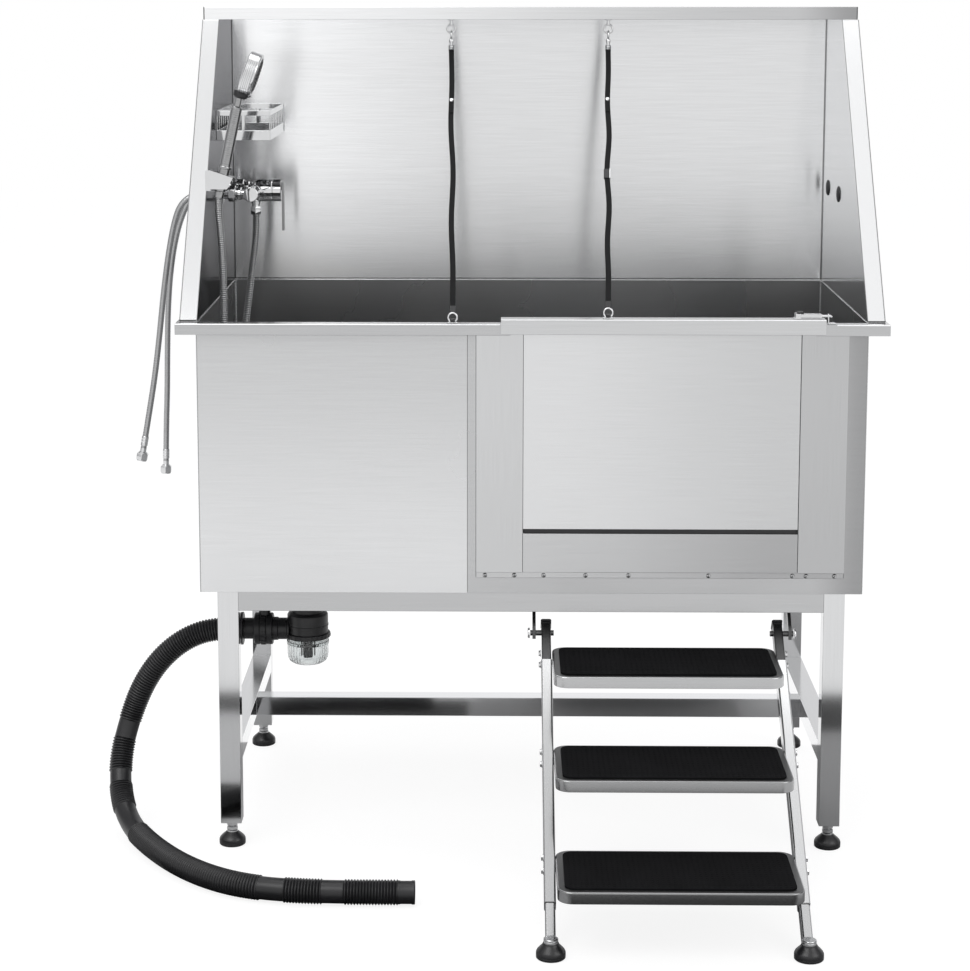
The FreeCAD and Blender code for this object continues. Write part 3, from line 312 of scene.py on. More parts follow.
class Shape:
    """A piece in the making: closed shells gathered in one mesh. Places are vectors, sizes are in mm."""

    def __init__(self):
        self.mesh = bmesh.new()
        self.materials = []

    def index_of(self, material):
        if material not in self.materials:
            self.materials.append(material)
        return self.materials.index(material)

    def shell(self, rings, material, ends=True):
        """Rings of points joined one to the next, closed at both ends."""
        index = self.index_of(material)
        loops = [[self.mesh.verts.new(point) for point in ring] for ring in rings]
        faces = []
        for low, high in zip(loops, loops[1:]):
            for i in range(len(low)):
                j = (i + 1) % len(low)
                faces.append(self.mesh.faces.new((low[i], low[j], high[j], high[i])))
        if ends:
            faces.append(self.mesh.faces.new(loops[0][::-1]))
            faces.append(self.mesh.faces.new(loops[-1]))
        else:
            for i in range(len(loops[0])):
                j = (i + 1) % len(loops[0])
                faces.append(self.mesh.faces.new((loops[-1][i], loops[-1][j], loops[0][j], loops[0][i])))
        for face in faces:
            face.material_index = index
        return self

    def turned(self, profile, centre, material, axis=Z, segments=40, wave=None):
        """A turned shell: the profile is (radius, height) along an axis from a centre."""
        axis = axis.normalized()
        u = side_of(axis)
        v = axis.cross(u)
        rings = []
        for radius, height in profile:
            radius, height = max(radius * MM, 1e-5), height * MM
            ring = []
            for i in range(segments):
                turn = 2 * math.pi * i / segments
                size = radius * (1 + wave[1] * math.cos(wave[0] * turn)) if wave else radius
                ring.append(centre + axis * height + u * size * math.cos(turn) + v * size * math.sin(turn))
            rings.append(ring)
        return self.shell(rings, material)

    def beam(self, start, end, across, width, depth, radius, material, chamfer=0.6, steps=4):
        """A straight bar of rounded rectangular section, its width along one direction."""
        way = (end - start).normalized()
        across = (across - way * across.dot(way)).normalized()
        up = way.cross(across)
        length = (end - start).length
        width, depth, radius, chamfer = (size * MM for size in (width, depth, radius, chamfer))
        rings = []
        for height, inset in ((0, chamfer), (chamfer, 0), (length - chamfer, 0), (length, chamfer)):
            section = rounded_section(width - 2 * inset, depth - 2 * inset, max(radius - inset, 1e-4), steps)
            rings.append([start + way * height + across * a + up * b for a, b in section])
        return self.shell(rings, material)

    def block(self, low, high, radius, material):
        """An upright block with rounded upright edges and chamfered ends."""
        middle = (low + high) / 2
        start, end = Vector((middle.x, middle.y, low.z)), Vector((middle.x, middle.y, high.z))
        size = high - low
        return self.beam(start, end, X, size.x / MM, size.y / MM, radius, material, min(radius, size.z / MM / 3))

    def nut(self, centre, axis, radius, height, material):
        """A hexagon nut with chamfered corners."""
        axis = axis.normalized()
        u = side_of(axis)
        v = axis.cross(u)
        radius, height = radius * MM, height * MM
        rings = []
        for level, share in ((0, 0.88), (0.12, 1), (0.88, 1), (1, 0.88)):
            ring = []
            for i in range(6):
                for turn in (-0.06, 0.06):
                    angle = math.pi / 3 * i + turn
                    ring.append(centre + axis * height * level
                                + (u * math.cos(angle) + v * math.sin(angle)) * radius * share)
            rings.append(ring)
        return self.shell(rings, material)

    def sweep(self, points, radius_at, material, segments=16, closed=False):
        """A round tube along points; its radius follows the length and the turn about the line."""
        rings = []
        side = side_of((points[1] - points[0]).normalized())
        length = 0
        for i, point in enumerate(points):
            if closed:
                before, after = points[i - 1], points[(i + 1) % len(points)]
            else:
                before, after = points[max(i - 1, 0)], points[min(i + 1, len(points) - 1)]
            way = (after - before).normalized()
            side = (side - way * side.dot(way)).normalized()
            up = way.cross(side)
            if i:
                length += (point - points[i - 1]).length
            ring = []
            for j in range(segments):
                turn = 2 * math.pi * j / segments
                radius = radius_at(length, turn)
                ring.append(point + side * radius * math.cos(turn) + up * radius * math.sin(turn))
            rings.append(ring)
        return self.shell(rings, material, ends=not closed)

    def loop(self, centre, axis, radius, wire, material, segments=28):
        """A wire ring about an axis."""
        axis = axis.normalized()
        u = side_of(axis)
        v = axis.cross(u)
        radius, wire = radius * MM, wire * MM
        points = []
        for i in range(segments):
            turn = 2 * math.pi * i / segments
            points.append(centre + (u * math.cos(turn) * radius + v * math.sin(turn) * radius))
        return self.sweep(points, lambda length, turn: wire, material, 10, closed=True)

    def finish(self, name):
        """The object, shaded smooth but for its sharp edges."""
        bmesh.ops.recalc_face_normals(self.mesh, faces=self.mesh.faces[:])
        data = bpy.data.meshes.new(name)
        self.mesh.to_mesh(data)
        self.mesh.free()
        for material in self.materials:
            data.materials.append(material)
        return shade(link(name, data))


def link(name, data):
    piece = bpy.data.objects.new(name, data)
    bpy.context.scene.collection.objects.link(piece)
    return piece


def shade(piece, sharp=40):
    piece.data.shade_smooth()
    piece.data.set_sharp_from_angle(angle=math.radians(sharp))
    weights = piece.modifiers.new("FaceWeights", "WEIGHTED_NORMAL")
    weights.keep_sharp = True
    return piece


def stand_for(piece, *nodes):
    """The piece moves with the nodes' body and stands in their place."""
    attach(piece, frame["nodes"][nodes[0]]["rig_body"])
    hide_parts(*nodes)
    return piece


def go_with(piece, node):
    """An extra piece that moves with a node's body."""
    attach(piece, frame["nodes"][node]["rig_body"])
    return piece


def eased(node, material, width=0.5, segments=2):
    """A node's own shape with every sharp edge eased, as folded or machined metal has; the width is in mm."""
    mesh = bmesh.new()
    mesh.from_mesh(frame["nodes"][node].data)
    bmesh.ops.remove_doubles(mesh, verts=mesh.verts[:], dist=1e-6)
    bmesh.ops.dissolve_limit(mesh, angle_limit=math.radians(1), verts=mesh.verts[:], edges=mesh.edges[:])
    bmesh.ops.recalc_face_normals(mesh, faces=mesh.faces[:])
    sharp = [edge for edge in mesh.edges if len(edge.link_faces) == 2 and edge.calc_face_angle() > math.radians(35)]
    bmesh.ops.bevel(mesh, geom=sharp, offset=width * MM, segments=segments, profile=0.5, affect="EDGES",
                    clamp_overlap=True)
    data = bpy.data.meshes.new(node + "_eased")
    mesh.to_mesh(data)
    mesh.free()
    data.materials.append(material)
    return stand_for(shade(link(node + "_eased", data)), node)


# ---------------------------------------------------------------- camera, stage and light

def make_camera():
    """The camera at the viewing angle of the photograph."""
    data = bpy.data.cameras.new("camera")
    camera = bpy.data.objects.new("camera", data)
    bpy.context.scene.collection.objects.link(camera)
    camera.location = (-0.0569, -4.5290, 1.5767)
    camera.rotation_euler = [math.radians(angle) for angle in (81.356, 0.009, 0.862)]
    data.lens = 88.20
    data.sensor_width = 36
    data.shift_x = 0.0213
    data.shift_y = -0.1416
    data.clip_end = 60
    bpy.context.scene.camera = camera


def sees_background(material):
    """1 for rays that see the background directly, in a reflection or through glass."""
    rays = add_node(material, "LightPath").outputs
    total = rays["Is Camera Ray"]
    for name in ("Is Glossy Ray", "Is Transmission Ray"):
        total = add_node(material, "Math", {0: total, 1: rays[name]}, operation="MAXIMUM").outputs[0]
    return total


def make_world():
    """Plain soft light all round, a white background, and in reflections a studio with dimmer sides."""
    world = bpy.data.worlds.new("studio")
    world.use_nodes = True
    bpy.context.scene.world = world
    place = add_node(world, "TexCoord")
    lean = add_node(world, "VectorMath", {0: place.outputs["Generated"], 1: (0, -0.8, 0.6)}, operation="DOT_PRODUCT")
    level = add_node(world, "MapRange", {"Value": lean.outputs["Value"], "From Min": -1})
    studio = add_node(world, "ValToRGB", {"Fac": level.outputs["Result"]})
    ramp = studio.color_ramp
    ramp.elements[0].position, ramp.elements[1].position = 0.25, 0.80
    ramp.elements[0].color, ramp.elements[1].color = (0.95, 0.95, 0.96, 1), (1, 1, 1, 1)
    ramp.elements.new(0.48).color = (0.22, 0.22, 0.23, 1)
    ramp.elements.new(0.62).color = (0.60, 0.60, 0.61, 1)
    rays = add_node(world, "LightPath").outputs
    reflected = add_node(world, "Mix", {"A": (0.62, 0.62, 0.63, 1), "B": studio.outputs["Color"],
                                        "Factor": rays["Is Glossy Ray"]}, data_type="RGBA")
    either = add_node(world, "Math", {0: rays["Is Camera Ray"], 1: rays["Is Transmission Ray"]}, operation="MAXIMUM")
    shown = add_node(world, "Mix", {"A": reflected.outputs["Result"], "B": (1, 1, 1, 1), "Factor": either.outputs[0]},
                     data_type="RGBA")
    feed(world, world.node_tree.nodes["Background"], {"Color": shown.outputs["Result"]})


def flat_sheet(name, low, high, level, material):
    """A level sheet between two corners."""
    corners = [(low[0], low[1], level), (high[0], low[1], level), (high[0], high[1], level), (low[0], high[1], level)]
    data = bpy.data.meshes.new(name)
    data.from_pydata(corners, [], [(0, 1, 2, 3)])
    data.materials.append(material)
    return link(name, data)


FLOOR_HALF, FLOOR_LEVEL = 14, -0.0005


def make_floor():
    """A plain white floor that shows as white and keeps a soft shadow."""
    material = new_material("floor", (0.86, 0.86, 0.86), 0, 0.9)
    glow = add_node(material, "Emission", Color=(1, 1, 1, 1), Strength=1.15)
    share = add_node(material, "Math", {0: sees_background(material), 1: 0.75}, operation="MULTIPLY")
    mix = add_node(material, "MixShader", {"Fac": share.outputs[0], 1: shader_of(material).outputs["BSDF"],
                                           2: glow.outputs["Emission"]})
    feed(material, material.node_tree.nodes["Material Output"], {"Surface": mix.outputs["Shader"]})
    flat_sheet("floor", (-FLOOR_HALF, -FLOOR_HALF), (FLOOR_HALF, FLOOR_HALF), FLOOR_LEVEL, material)


# Each card: name, grey, low X, high X, low Y, high Y and height in mm. Fitted to this one view.
FLAGS = (("left", 0.62, -0.75, -0.11, -1.2, 0.30, 0.4), ("right", 0.33, -0.11, 0.75, -1.2, 0.30, 0.4),
         ("far_left", 0.02, -0.75, 0, -1.29, -1.14, 0.6), ("far_right", 0.02, 0, 0.75, -1.29, -1.02, 0.6),
         ("near_left", 0.008, -0.75, -0.125, -0.665, -0.465, 0.8),
         ("near_middle", 0.21, -0.125, 0.13, -0.665, -0.465, 0.8),
         ("near_right", 0.20, 0.13, 0.47, -0.665, -0.465, 0.8))


def make_flags():
    """Grey cards lying in front of the stand, seen only in reflections, that give the steel its contrast."""
    for name, grey, low_x, high_x, low_y, high_y, level in FLAGS:
        material = new_material("card_" + name, (grey, grey, grey), 0, 0.9)
        cloth = pattern(material, "TexNoise", (1, 1, 1), Scale=40, Detail=2)
        vary_roughness(material, cloth, 0.8, 1.0)
        card = flat_sheet("card_" + name, (low_x, low_y), (high_x, high_y), level * MM, material)
        card.visible_camera = card.visible_diffuse = card.visible_shadow = False
        card.visible_transmission = False


def make_lamp(name, place, target, size, power):
    """A large soft lamp aimed at a point."""
    data = bpy.data.lights.new(name, "AREA")
    data.shape = "RECTANGLE"
    data.size, data.size_y = size
    data.energy = power
    lamp = bpy.data.objects.new(name, data)
    bpy.context.scene.collection.objects.link(lamp)
    lamp.location = place
    lamp.rotation_euler = (Vector(target) - Vector(place)).to_track_quat("-Z", "Y").to_euler()
    lamp.visible_camera = False
    return lamp


make_camera()
make_world()
make_floor()
make_flags()
make_lamp("key_lamp", (-1.8, -3.0, 4.2), (0, 0, 0.7), (3.2, 2.4), 70)
make_lamp("fill_lamp", (2.8, -2.4, 2.6), (0, 0, 0.8), (2.4, 2.4), 28)
make_lamp("top_lamp", (0, 0.6, 4.6), (0, 0, 0.5), (3.6, 2.4), 45)
bpy.context.scene.view_settings.view_transform = "Standard"


# ---------------------------------------------------------------- cords

def cord_line(name, route):
    """The points of a cord's smooth line: a spline with its route, in millimetres, as control points."""
    data = bpy.data.curves.new(name + "_line", "CURVE")
    data.dimensions = "3D"
    data.resolution_u = 24
    spline = data.splines.new("NURBS")
    spline.points.add(len(route) - 1)
    for point, place in zip(spline.points, route):
        point.co = (place[0] * MM, place[1] * MM, place[2] * MM, 1)
    spline.order_u = 3
    spline.use_endpoint_u = True
    line = link(name + "_line", data)
    mesh = bpy.data.meshes.new_from_object(line)
    points = [vertex.co.copy() for vertex in mesh.vertices]
    bpy.data.objects.remove(line)
    bpy.data.meshes.remove(mesh)
    return points


def evenly(points, step):
    """Points a step apart along a line of points, with its two ends."""
    spaced, due, walked = [points[0]], step, 0
    for start, end in zip(points, points[1:]):
        run = (end - start).length
        while run > 0 and due <= walked + run:
            spaced.append(start.lerp(end, (due - walked) / run))
            due += step
        walked += run
    if (spaced[-1] - points[-1]).length < step / 2:
        spaced.pop()
    return spaced + [points[-1]]


SUPPLY_NEAR = ((-617.5, 90, 1178), (-650, 90, 1178), (-678, 90, 1160), (-692, 90, 1126), (-705, 90, 1061),
               (-716, 90, 985), (-725, 90, 905), (-736, 90, 820), (-749, 90, 745), (-762, 90, 672))
SUPPLY_FAR = ((-617.5, 240, 1178), (-649, 240, 1178), (-676, 240, 1161), (-693, 240, 1131), (-709, 240, 1085),
              (-722, 240, 1015), (-729, 240, 935), (-732, 240, 845), (-734, 240, 755), (-737.5, 240, 684),
              (-739, 240, 616))
SHOWER = ((-540, 165, 1130), (-540, 165, 1092), (-547, 165, 1040), (-556, 165, 972), (-565, 165, 902),
          (-570, 165, 832), (-572, 164, 762), (-572, 160, 690), (-571, 141, 612), (-571, 86, 553), (-571, 11, 530),
          (-571, -64, 553), (-571, -121, 608), (-572, -140, 686), (-573, -144, 765), (-572, -145, 850),
          (-572, -144, 930), (-571, -143, 1004), (-572, -143, 1074), (-575, -143, 1131), (-578.5, -143, 1166),
          (-577.4, -143, 1190.9))
DRAIN = ((-546.5, -150, 372), (-597, -150, 372), (-650, -150, 354), (-696, -151, 318), (-732, -151, 268),
         (-758, -151, 206), (-777, -178, 130), (-770, -228, 64), (-741, -292, 30), (-690, -378, 23),
         (-626, -469, 22.5), (-557, -535, 22.5), (-485, -573, 22.5), (-405, -588, 22.5), (-330, -591.5, 22.5),
         (-271, -592, 22.5), (-232, -592, 22.5))


def braided(radius):
    """The radius of a hose under a wire braid: fine crossing ridges."""
    def radius_at(length, turn):
        crossing = math.sin(8 * turn + length / (1.6 * MM)) * math.sin(8 * turn - length / (1.6 * MM))
        return radius - 0.25 * MM + 0.25 * MM * crossing
    return radius_at


def V(x, y, z):
    """A point given in millimetres."""
    return Vector((x, y, z)) * MM


SLEEVE = ((4, 0.5), (7.1, 0.9), (7.1, 6), (6.7, 6.8), (7.1, 7.6), (7.1, 12), (6.7, 12.8), (7.1, 13.6), (7.1, 18),
          (6.2, 19.5), (4, 20))


def make_supply_hose(name, node, route):
    """A braided supply hose with a crimped sleeve at its top and a sleeve and swivel nut at its end."""
    line = cord_line(name, route)
    points = evenly(line, 1.6 * MM)
    hose = stand_for(Shape().sweep(points, braided(6 * MM), BRAID, 28).finish(name), node)
    top, end = points[0], points[-1]
    crimp = Shape().turned(SLEEVE, top, CHROME, points[1] - top).finish(name + "_top_sleeve")
    go_with(crimp, node)
    down = (end - points[-3]).normalized()
    nut = Shape()
    nut.turned(SLEEVE, end - down * 6 * MM, CHROME, -down)
    nut.turned(((3, 0), (6.2, 0.3), (6.2, 8), (8.5, 9), (8.5, 11), (3, 11.3)), end - down * 2 * MM, CHROME, down)
    nut.nut(end + down * 9 * MM, down, 12, 14, CHROME)
    nut.turned(((9.2, 0), (10.2, 0.2), (10.2, 2.4), (9.2, 2.6)), end + down * 22 * MM, CHROME, down)
    nut = nut.finish(name + "_nut")
    go_with(nut, "supply_hose_nuts")
    return nut


nuts = [make_supply_hose("supply_near", "supply_hose_near", SUPPLY_NEAR),
        make_supply_hose("supply_far", "supply_hose_far", SUPPLY_FAR)]
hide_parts("supply_hose_nuts")

PITCH = 3.6 * MM


def coiled_metal(length, turn):
    """The radius of an interlocked metal hose: rounded turns with tight grooves."""
    share = length / PITCH % 1
    return 7.1 * MM - 1.5 * MM * abs(2 * share - 1) ** 3


shower_line = cord_line("shower", SHOWER)
shower_points = evenly(shower_line, PITCH / 7)
shower_hose = Shape().sweep(shower_points, coiled_metal, BRAID, 18).finish("shower_hose_coil")
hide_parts("shower_hose")
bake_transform(shower_hose)

RIB_PITCH = 5.3 * MM
SMOOTH_RUNS = [(start * MM, end * MM)
               for start, end in ((0, 14), (305, 340), (405, 430), (485, 565), (930, 975), (1040, 1078))]


def ribbed(length, turn):
    """The radius of the drain hose: ribs with plain stretches between them."""
    for start, end in SMOOTH_RUNS:
        if start <= length <= end:
            return 20 * MM
    share = length / RIB_PITCH % 1
    rise = 0.5 + 0.5 * math.cos(2 * math.pi * share)
    return 19.4 * MM + 2.6 * MM * rise ** 0.7


drain_line = cord_line("drain", DRAIN)
drain_hose = Shape().sweep(evenly(drain_line, RIB_PITCH / 8), ribbed, HOSE_PLASTIC, 36).finish("drain_hose_ribs")
stand_for(drain_hose, "drain_hose")
cuff = Shape().turned(((14.5, 28.5), (14.5, 2), (19.6, -1), (20.4, 0.6), (20.4, 4), (19.8, 5), (19.8, 24), (20.6, 25),
                       (20.6, 29.4), (20.0, 30), (15, 30)), V(-232, -592, 22.5), BLACK_PLASTIC, X,
                      48).finish("drain_cuff")
stand_for(cuff, "drain_hose_cuff")


# ---------------------------------------------------------------- stand

WELD_RADIUS = 1.3 * MM


def eased_split(node, materials, choose, width, segments=2):
    """An eased node whose faces take one of several materials by the place of their middle."""
    piece = eased(node, materials[0], width, segments)
    for material in materials[1:]:
        piece.data.materials.append(material)
    for face in piece.data.polygons:
        face.material_index = choose(face)
    return piece


eased("front_legs", TUBE_Z, 2.6, 4)
eased("rear_legs", TUBE_Z, 2.6, 4)
RAIL_SIDE = 0.534
for rails, long_tube in (("top_rails", RAIL), ("lower_rails", TUBE_X)):
    eased_split(rails, (long_tube, TUBE_Y), lambda face: int(abs(face.center.x) > RAIL_SIDE), 2.4, 3)


def islands(node):
    """The middle and size of each separate solid of a node."""
    mesh = bmesh.new()
    mesh.from_mesh(frame["nodes"][node].data)
    bmesh.ops.remove_doubles(mesh, verts=mesh.verts[:], dist=1e-6)
    found, seen = [], set()
    for start in mesh.verts:
        if start in seen:
            continue
        group, stack = [], [start]
        seen.add(start)
        while stack:
            vertex = stack.pop()
            group.append(vertex.co.copy())
            for edge in vertex.link_edges:
                other = edge.other_vert(vertex)
                if other not in seen:
                    seen.add(other)
                    stack.append(other)
        low = Vector([min(point[i] for point in group) for i in range(3)])
        high = Vector([max(point[i] for point in group) for i in range(3)])
        found.append(((low + high) / 2, high - low))
    mesh.free()
    return sorted(found, key=lambda item: tuple(round(value, 4) for value in item[0]))


def make_foot(name):
    """A leveling foot: black domed pad, threaded stem, lock nut and washer."""
    node = f"leveling_foot_{name}"
    low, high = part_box(node)
    centre = Vector(((low.x + high.x) / 2, (low.y + high.y) / 2, 0))
    pad = Shape().turned(((0.1, 0), (22.8, 0), (24.2, 1.4), (24.4, 4.5), (23.8, 5), (23.8, 6), (24.4, 6.5),
                          (24.2, 10.5), (22.8, 13.6), (19.2, 17.4), (14.6, 21.2), (12, 23.6), (10.8, 25),
                          (0.1, 25.2)), centre, GLOSS_BLACK, Z, 56).finish(node + "_pad")
    stand_for(pad, node)
    stem = Shape()
    thread = [(4.6 + 0.45 * (i % 2), 18 + 1.1 * i) for i in range(50)]
    stem.turned([(0.1, 17.5)] + thread + [(0.1, 74)], centre, BRIGHT, Z, 20)
    stem.turned(((5, 23.8), (10.5, 24), (10.5, 26.5), (9.5, 27.5), (5, 27.6)), centre, BRIGHT, Z, 36)
    stem.nut(centre + Z * 28 * MM, Z, 10.5, 7, BRIGHT)
    stem.nut(centre + Z * 36.8 * MM, Z, 10.5, 7.4, BRIGHT)
    go_with(stem.finish(node + "_stem"), node)


for corner in ("front_left", "front_right", "rear_left", "rear_right"):
    make_foot(corner)


def bead(points, radius, piece):
    """A weld bead: a lumpy half-sunk ribbon of metal along a seam."""
    def radius_at(length, turn):
        return radius * (0.82 + 0.18 * abs(math.sin(length / (1.9 * MM))))
    piece.sweep(evenly(points, 0.95 * MM), radius_at, WELD, 10)


welds = Shape()
for side in (-1, 1):
    for y in (-1, 1):
        inner_x, face_x = 533 * side, 571 * side
        leg_face = 277 * y
        for low_z, high_z in ((451, 485), (161, 196)):
            for x in (534.5 * side, 569.5 * side):
                bead([V(x, leg_face, low_z), V(x, leg_face, high_z)], WELD_RADIUS, welds)
            for z in (high_z, low_z):
                bead([V(535 * side, leg_face, z), V(569 * side, leg_face, z)], WELD_RADIUS, welds)
        for edge in (279.5, 312.5):
            bead([V(inner_x, edge * y, 451), V(inner_x, edge * y, 485)], WELD_RADIUS, welds)
    for y in (-17.5, 17.5):
        bead([V(533 * side, y, 161), V(533 * side, y, 196)], WELD_RADIUS, welds)
    for z in (196, 161):
        bead([V(533 * side, -17, z), V(533 * side, 17, z)], WELD_RADIUS, welds)
go_with(welds.finish("stand_welds"), "lower_rails")


# ---------------------------------------------------------------- tub and splash panels

# The faces inside the tub and behind the front panels take the darker tub steel: painted shade.
eased("tub_floor", TUB_SHEET, 0.35)
for node, material in (("tub_wall_back", TUB_SHEET), ("splash_back", BACK_SHEET)):
    eased_split(node, (material, OUTER_BACK), lambda face: int(face.normal.y > 0.9), 0.35)
eased_split("tub_end_walls", (TUB_SHEET, OUTER_SIDE), lambda face: int(face.normal.x * face.center.x > 0.3), 0.35)
for node, material in (("front_panel_left", PANEL), ("front_panel_right", PANEL_RIGHT)):
    eased_split(node, (material, TUB_SHEET), lambda face: int(face.normal.y > 0.9), 0.35)


def side_face(face):
    """0 for the side facing the tub, 1 for flanges and edges, 2 for the outside."""
    if abs(face.normal.x) < 0.5:
        return 1
    return 2 if face.normal.x * face.center.x > 0 else 0


for node, inner in (("splash_left", LEFT_SHEET), ("splash_right", RIGHT_SHEET)):
    eased_split(node, (inner, FLANGE, OUTER_SIDE), side_face, 0.4)
for node, material in (("rim_sides_and_back", POLISHED), ("rim_front", POLISHED)):
    eased(node, material, 0.7)
eased("top_bar", BAR, 2.2, 4)

welds = Shape()
for x in (-600, 600):
    for y in (-316.5, 316.5):
        bead([V(x, y, 491), V(x, y, 980)], 2.2 * MM, welds)
    bead([V(x, -316, 491.5), V(x, 316, 491.5)], 2.0 * MM, welds)
for y in (-316.5, 316.5):
    bead([V(-599, y, 491.5), V(599, y, 491.5)], 2.0 * MM, welds)
go_with(welds.finish("tub_welds"), "tub_floor")

# Painted shade and highlight lines: dark lines along the splash sheets' edges, at the back corners, at the top bar's
# ends and along the rim, and bright lines along the sheets' feet at the rim.
edge_shade_lines = Shape()
for side in (-1, 1):
    for x, size in ((-631.4, 1.5), (-600.6, 1.1)):
        foot, crest, rear = V(x * side, -311, 984), V(x * side, 99, 1512.6), V(x * side, 318, 1512.6)
        edge_shade_lines.beam(foot, crest, X, size, 1.7, 0.4, SHADE_STEEL, 0.2, 2)
        edge_shade_lines.beam(crest, rear, X, size, 1.7, 0.4, SHADE_STEEL, 0.2, 2)
    edge_shade_lines.beam(V(599.4 * side, 317, 984), V(599.4 * side, 317, 1512), X, 2.4, 2.4, 0.8, SHADE_STEEL, 0.2, 2)
    edge_shade_lines.beam(V(631.5 * side, -313, 984.6), V(601 * side, -313, 984.6), Z, 2.6, 1.6, 0.5, DARK_STEEL, 0.2, 2)
    edge_shade_lines.beam(V(599.2 * side, 316, 981.4), V(599.2 * side, -316, 981.4), Z, 1.8, 1.6, 0.5, FLANGE, 0.2, 2)
    low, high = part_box("top_bar")
    end = high.x if side > 0 else low.x
    edge_shade_lines.block(Vector((end - 1.2 * MM, low.y - 0.2 * MM, low.z - 0.1 * MM)),
               Vector((end + 1.0 * MM, low.y + 14 * MM, high.z + 0.1 * MM)), 0.4, DARK_STEEL)
edge_shade_lines.beam(V(-599, 316.4, 981.4), V(599, 316.4, 981.4), Z, 2.0, 1.6, 0.5, FLANGE, 0.2, 2)
edge_shade_lines.beam(V(-599, 316.4, 985.2), V(599, 316.4, 985.2), Z, 1.6, 1.2, 0.4, DARK_STEEL, 0.2, 2)
go_with(edge_shade_lines.finish("splash_painted_edge_lines"), "splash_back")

# The rim's end pieces, and rounded strips in brighter steel along the rim's front top bend: painted highlight.
rim_ends_and_highlights = Shape()
for side in (-1, 1):
    for y in (-344.4, 344.4):
        rim_ends_and_highlights.beam(V(636 * side, y, 973), V(599 * side, y, 973), Z, 19.8, 1.2, 0.4, POLISHED, 0.1, 2)
for start, end in ((-636, -56), (541, 636)):
    rim_ends_and_highlights.beam(V(start, -343.9, 981.9), V(end, -343.9, 981.9), Y, 2.6, 2.6, 1.2, FLANGE, 0.4, 4)
go_with(rim_ends_and_highlights.finish("rim_ends_and_fold_highlights"), "rim_front")

plugs = Shape()
for middle, size in islands("hole_plugs"):
    start = Vector((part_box("hole_plugs")[0].x, middle.y, middle.z))
    plugs.turned(((0.1, -0.9), (6, -0.8), (11.5, -0.1), (15, 1.2), (15.5, 2.4), (15.5, 3), (11.2, 3.1), (11.2, 9.5),
                  (10, 10), (0.1, 10)), start, RUBBER, X, 40)
stand_for(plugs.finish("hole_plug_caps"), "hole_plugs")


# ---------------------------------------------------------------- door

eased("door_posts", POST, 0.7, 3)
eased("door_sill", SILL, 0.7, 3)
eased("door_panel", DOOR, 0.5)
eased("door_seal", RUBBER, 1.0, 3)
eased("door_cap", CAP, 0.6, 3)
low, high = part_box("door_cap")
# A rounded strip in brighter steel along the cap's bent top edge: painted highlight.
cap_highlight_strip = Shape().beam(Vector((low.x + 0.2 * MM, low.y + 1.1 * MM, high.z - 1.1 * MM)),
                    Vector((high.x - 0.2 * MM, low.y + 1.1 * MM, high.z - 1.1 * MM)), Y, 2.6, 2.6, 1.2, FLANGE, 0.4)
go_with(cap_highlight_strip.finish("cap_fold_highlight"), "door_cap")

# Rubber guide strips along the door opening's sides; the dark steel lines below the opening, at the posts' edges and
# at the panel joint are painted shade.
door_gap_lines = Shape()
for x in (-15, 482):
    door_gap_lines.beam(V(x, -328.6, 600), V(x, -328.6, 981), X, 1.6, 1.5, 0.5, RUBBER, 0.2, 2)
    door_gap_lines.beam(V(x, -329.4, 528), V(x, -329.4, 599), X, 1.0, 1.2, 0.3, DARK_STEEL, 0.2, 2)
for x in (-99.4, 566.4):
    door_gap_lines.beam(V(x, -319.3, 516), V(x, -319.3, 981), X, 1.0, 1.0, 0.3, DARK_STEEL, 0.2, 2)
door_gap_lines.beam(V(-115, -319.1, 488), V(-115, -319.1, 981), X, 0.9, 0.7, 0.2, DARK_STEEL, 0.2, 2)
go_with(door_gap_lines.finish("door_guides_and_shade_lines"), "door_posts")

screws = Shape()
for middle, size in islands("sill_screws"):
    back = Vector((middle.x, middle.y + size.y / 2, middle.z))
    screws.turned(((0.1, -0.1), (4.2, 0), (4.2, 0.5), (3.7, 1.2), (2.6, 1.9), (1.5, 2.15), (0.1, 2.2)), back, SATIN,
                  -Y, 28)
    # Dark steel bars across each head for its cross slot: painted shade in the recess.
    for across, up in ((X, Z), (Z, X)):
        low = back - Y * 2.05 * MM
        screws.beam(low - across * 1.7 * MM, low + across * 1.7 * MM, up, 0.75, 0.5, 0.1, DARK_STEEL, 0.05, 1)
stand_for(screws.finish("sill_screw_heads"), "sill_screws")

eased("latch_keeper", BRIGHT, 0.6, 3)
eased("latch_base", BRIGHT, 0.5, 2)
eased("latch_lever", BRIGHT, 0.9, 3)
low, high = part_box("latch_lever")
knob = Shape().turned(((0.1, 0), (4.6, 0.2), (6.2, 1), (6.6, 2.6), (5.6, 4.2), (3.4, 5), (0.1, 5.2)),
                      Vector((low.x + 7 * MM, (low.y + high.y) / 2, high.z - 0.6 * MM)), GLOSS_BLACK, Z, 32)
go_with(knob.finish("latch_knob"), "latch_lever")


# ---------------------------------------------------------------- mixer and hand shower

UNION_Z = 1178
unions = Shape()
for y in (90, 240):
    unions.turned(((10, 0), (23, 0), (23, 1), (21.5, 3.4), (16, 5.4), (10.5, 6), (10.5, 14.5), (10, 14.6)),
                  V(-600, y, UNION_Z), CHROME, X, 48)
    unions.nut(V(-586.5, y, UNION_Z), X, 16, 16, CHROME)
    unions.turned(((8, 0), (13.8, 0.2), (13.8, 1.6), (10.5, 3), (8, 3.2)), V(-570.6, y, UNION_Z), CHROME, X, 40)
    unions.nut(V(-609.5, y, UNION_Z), X, 17, 8, BRIGHT)
    thread = [(9.3 + 0.5 * (i % 2), 0.8 * i) for i in range(22)]
    unions.turned([(5, 0)] + thread + [(5, 17)], V(-617.5, y, UNION_Z), BRIGHT, X, 28)
stand_for(unions.finish("mixer_wall_unions"), "mixer_unions")

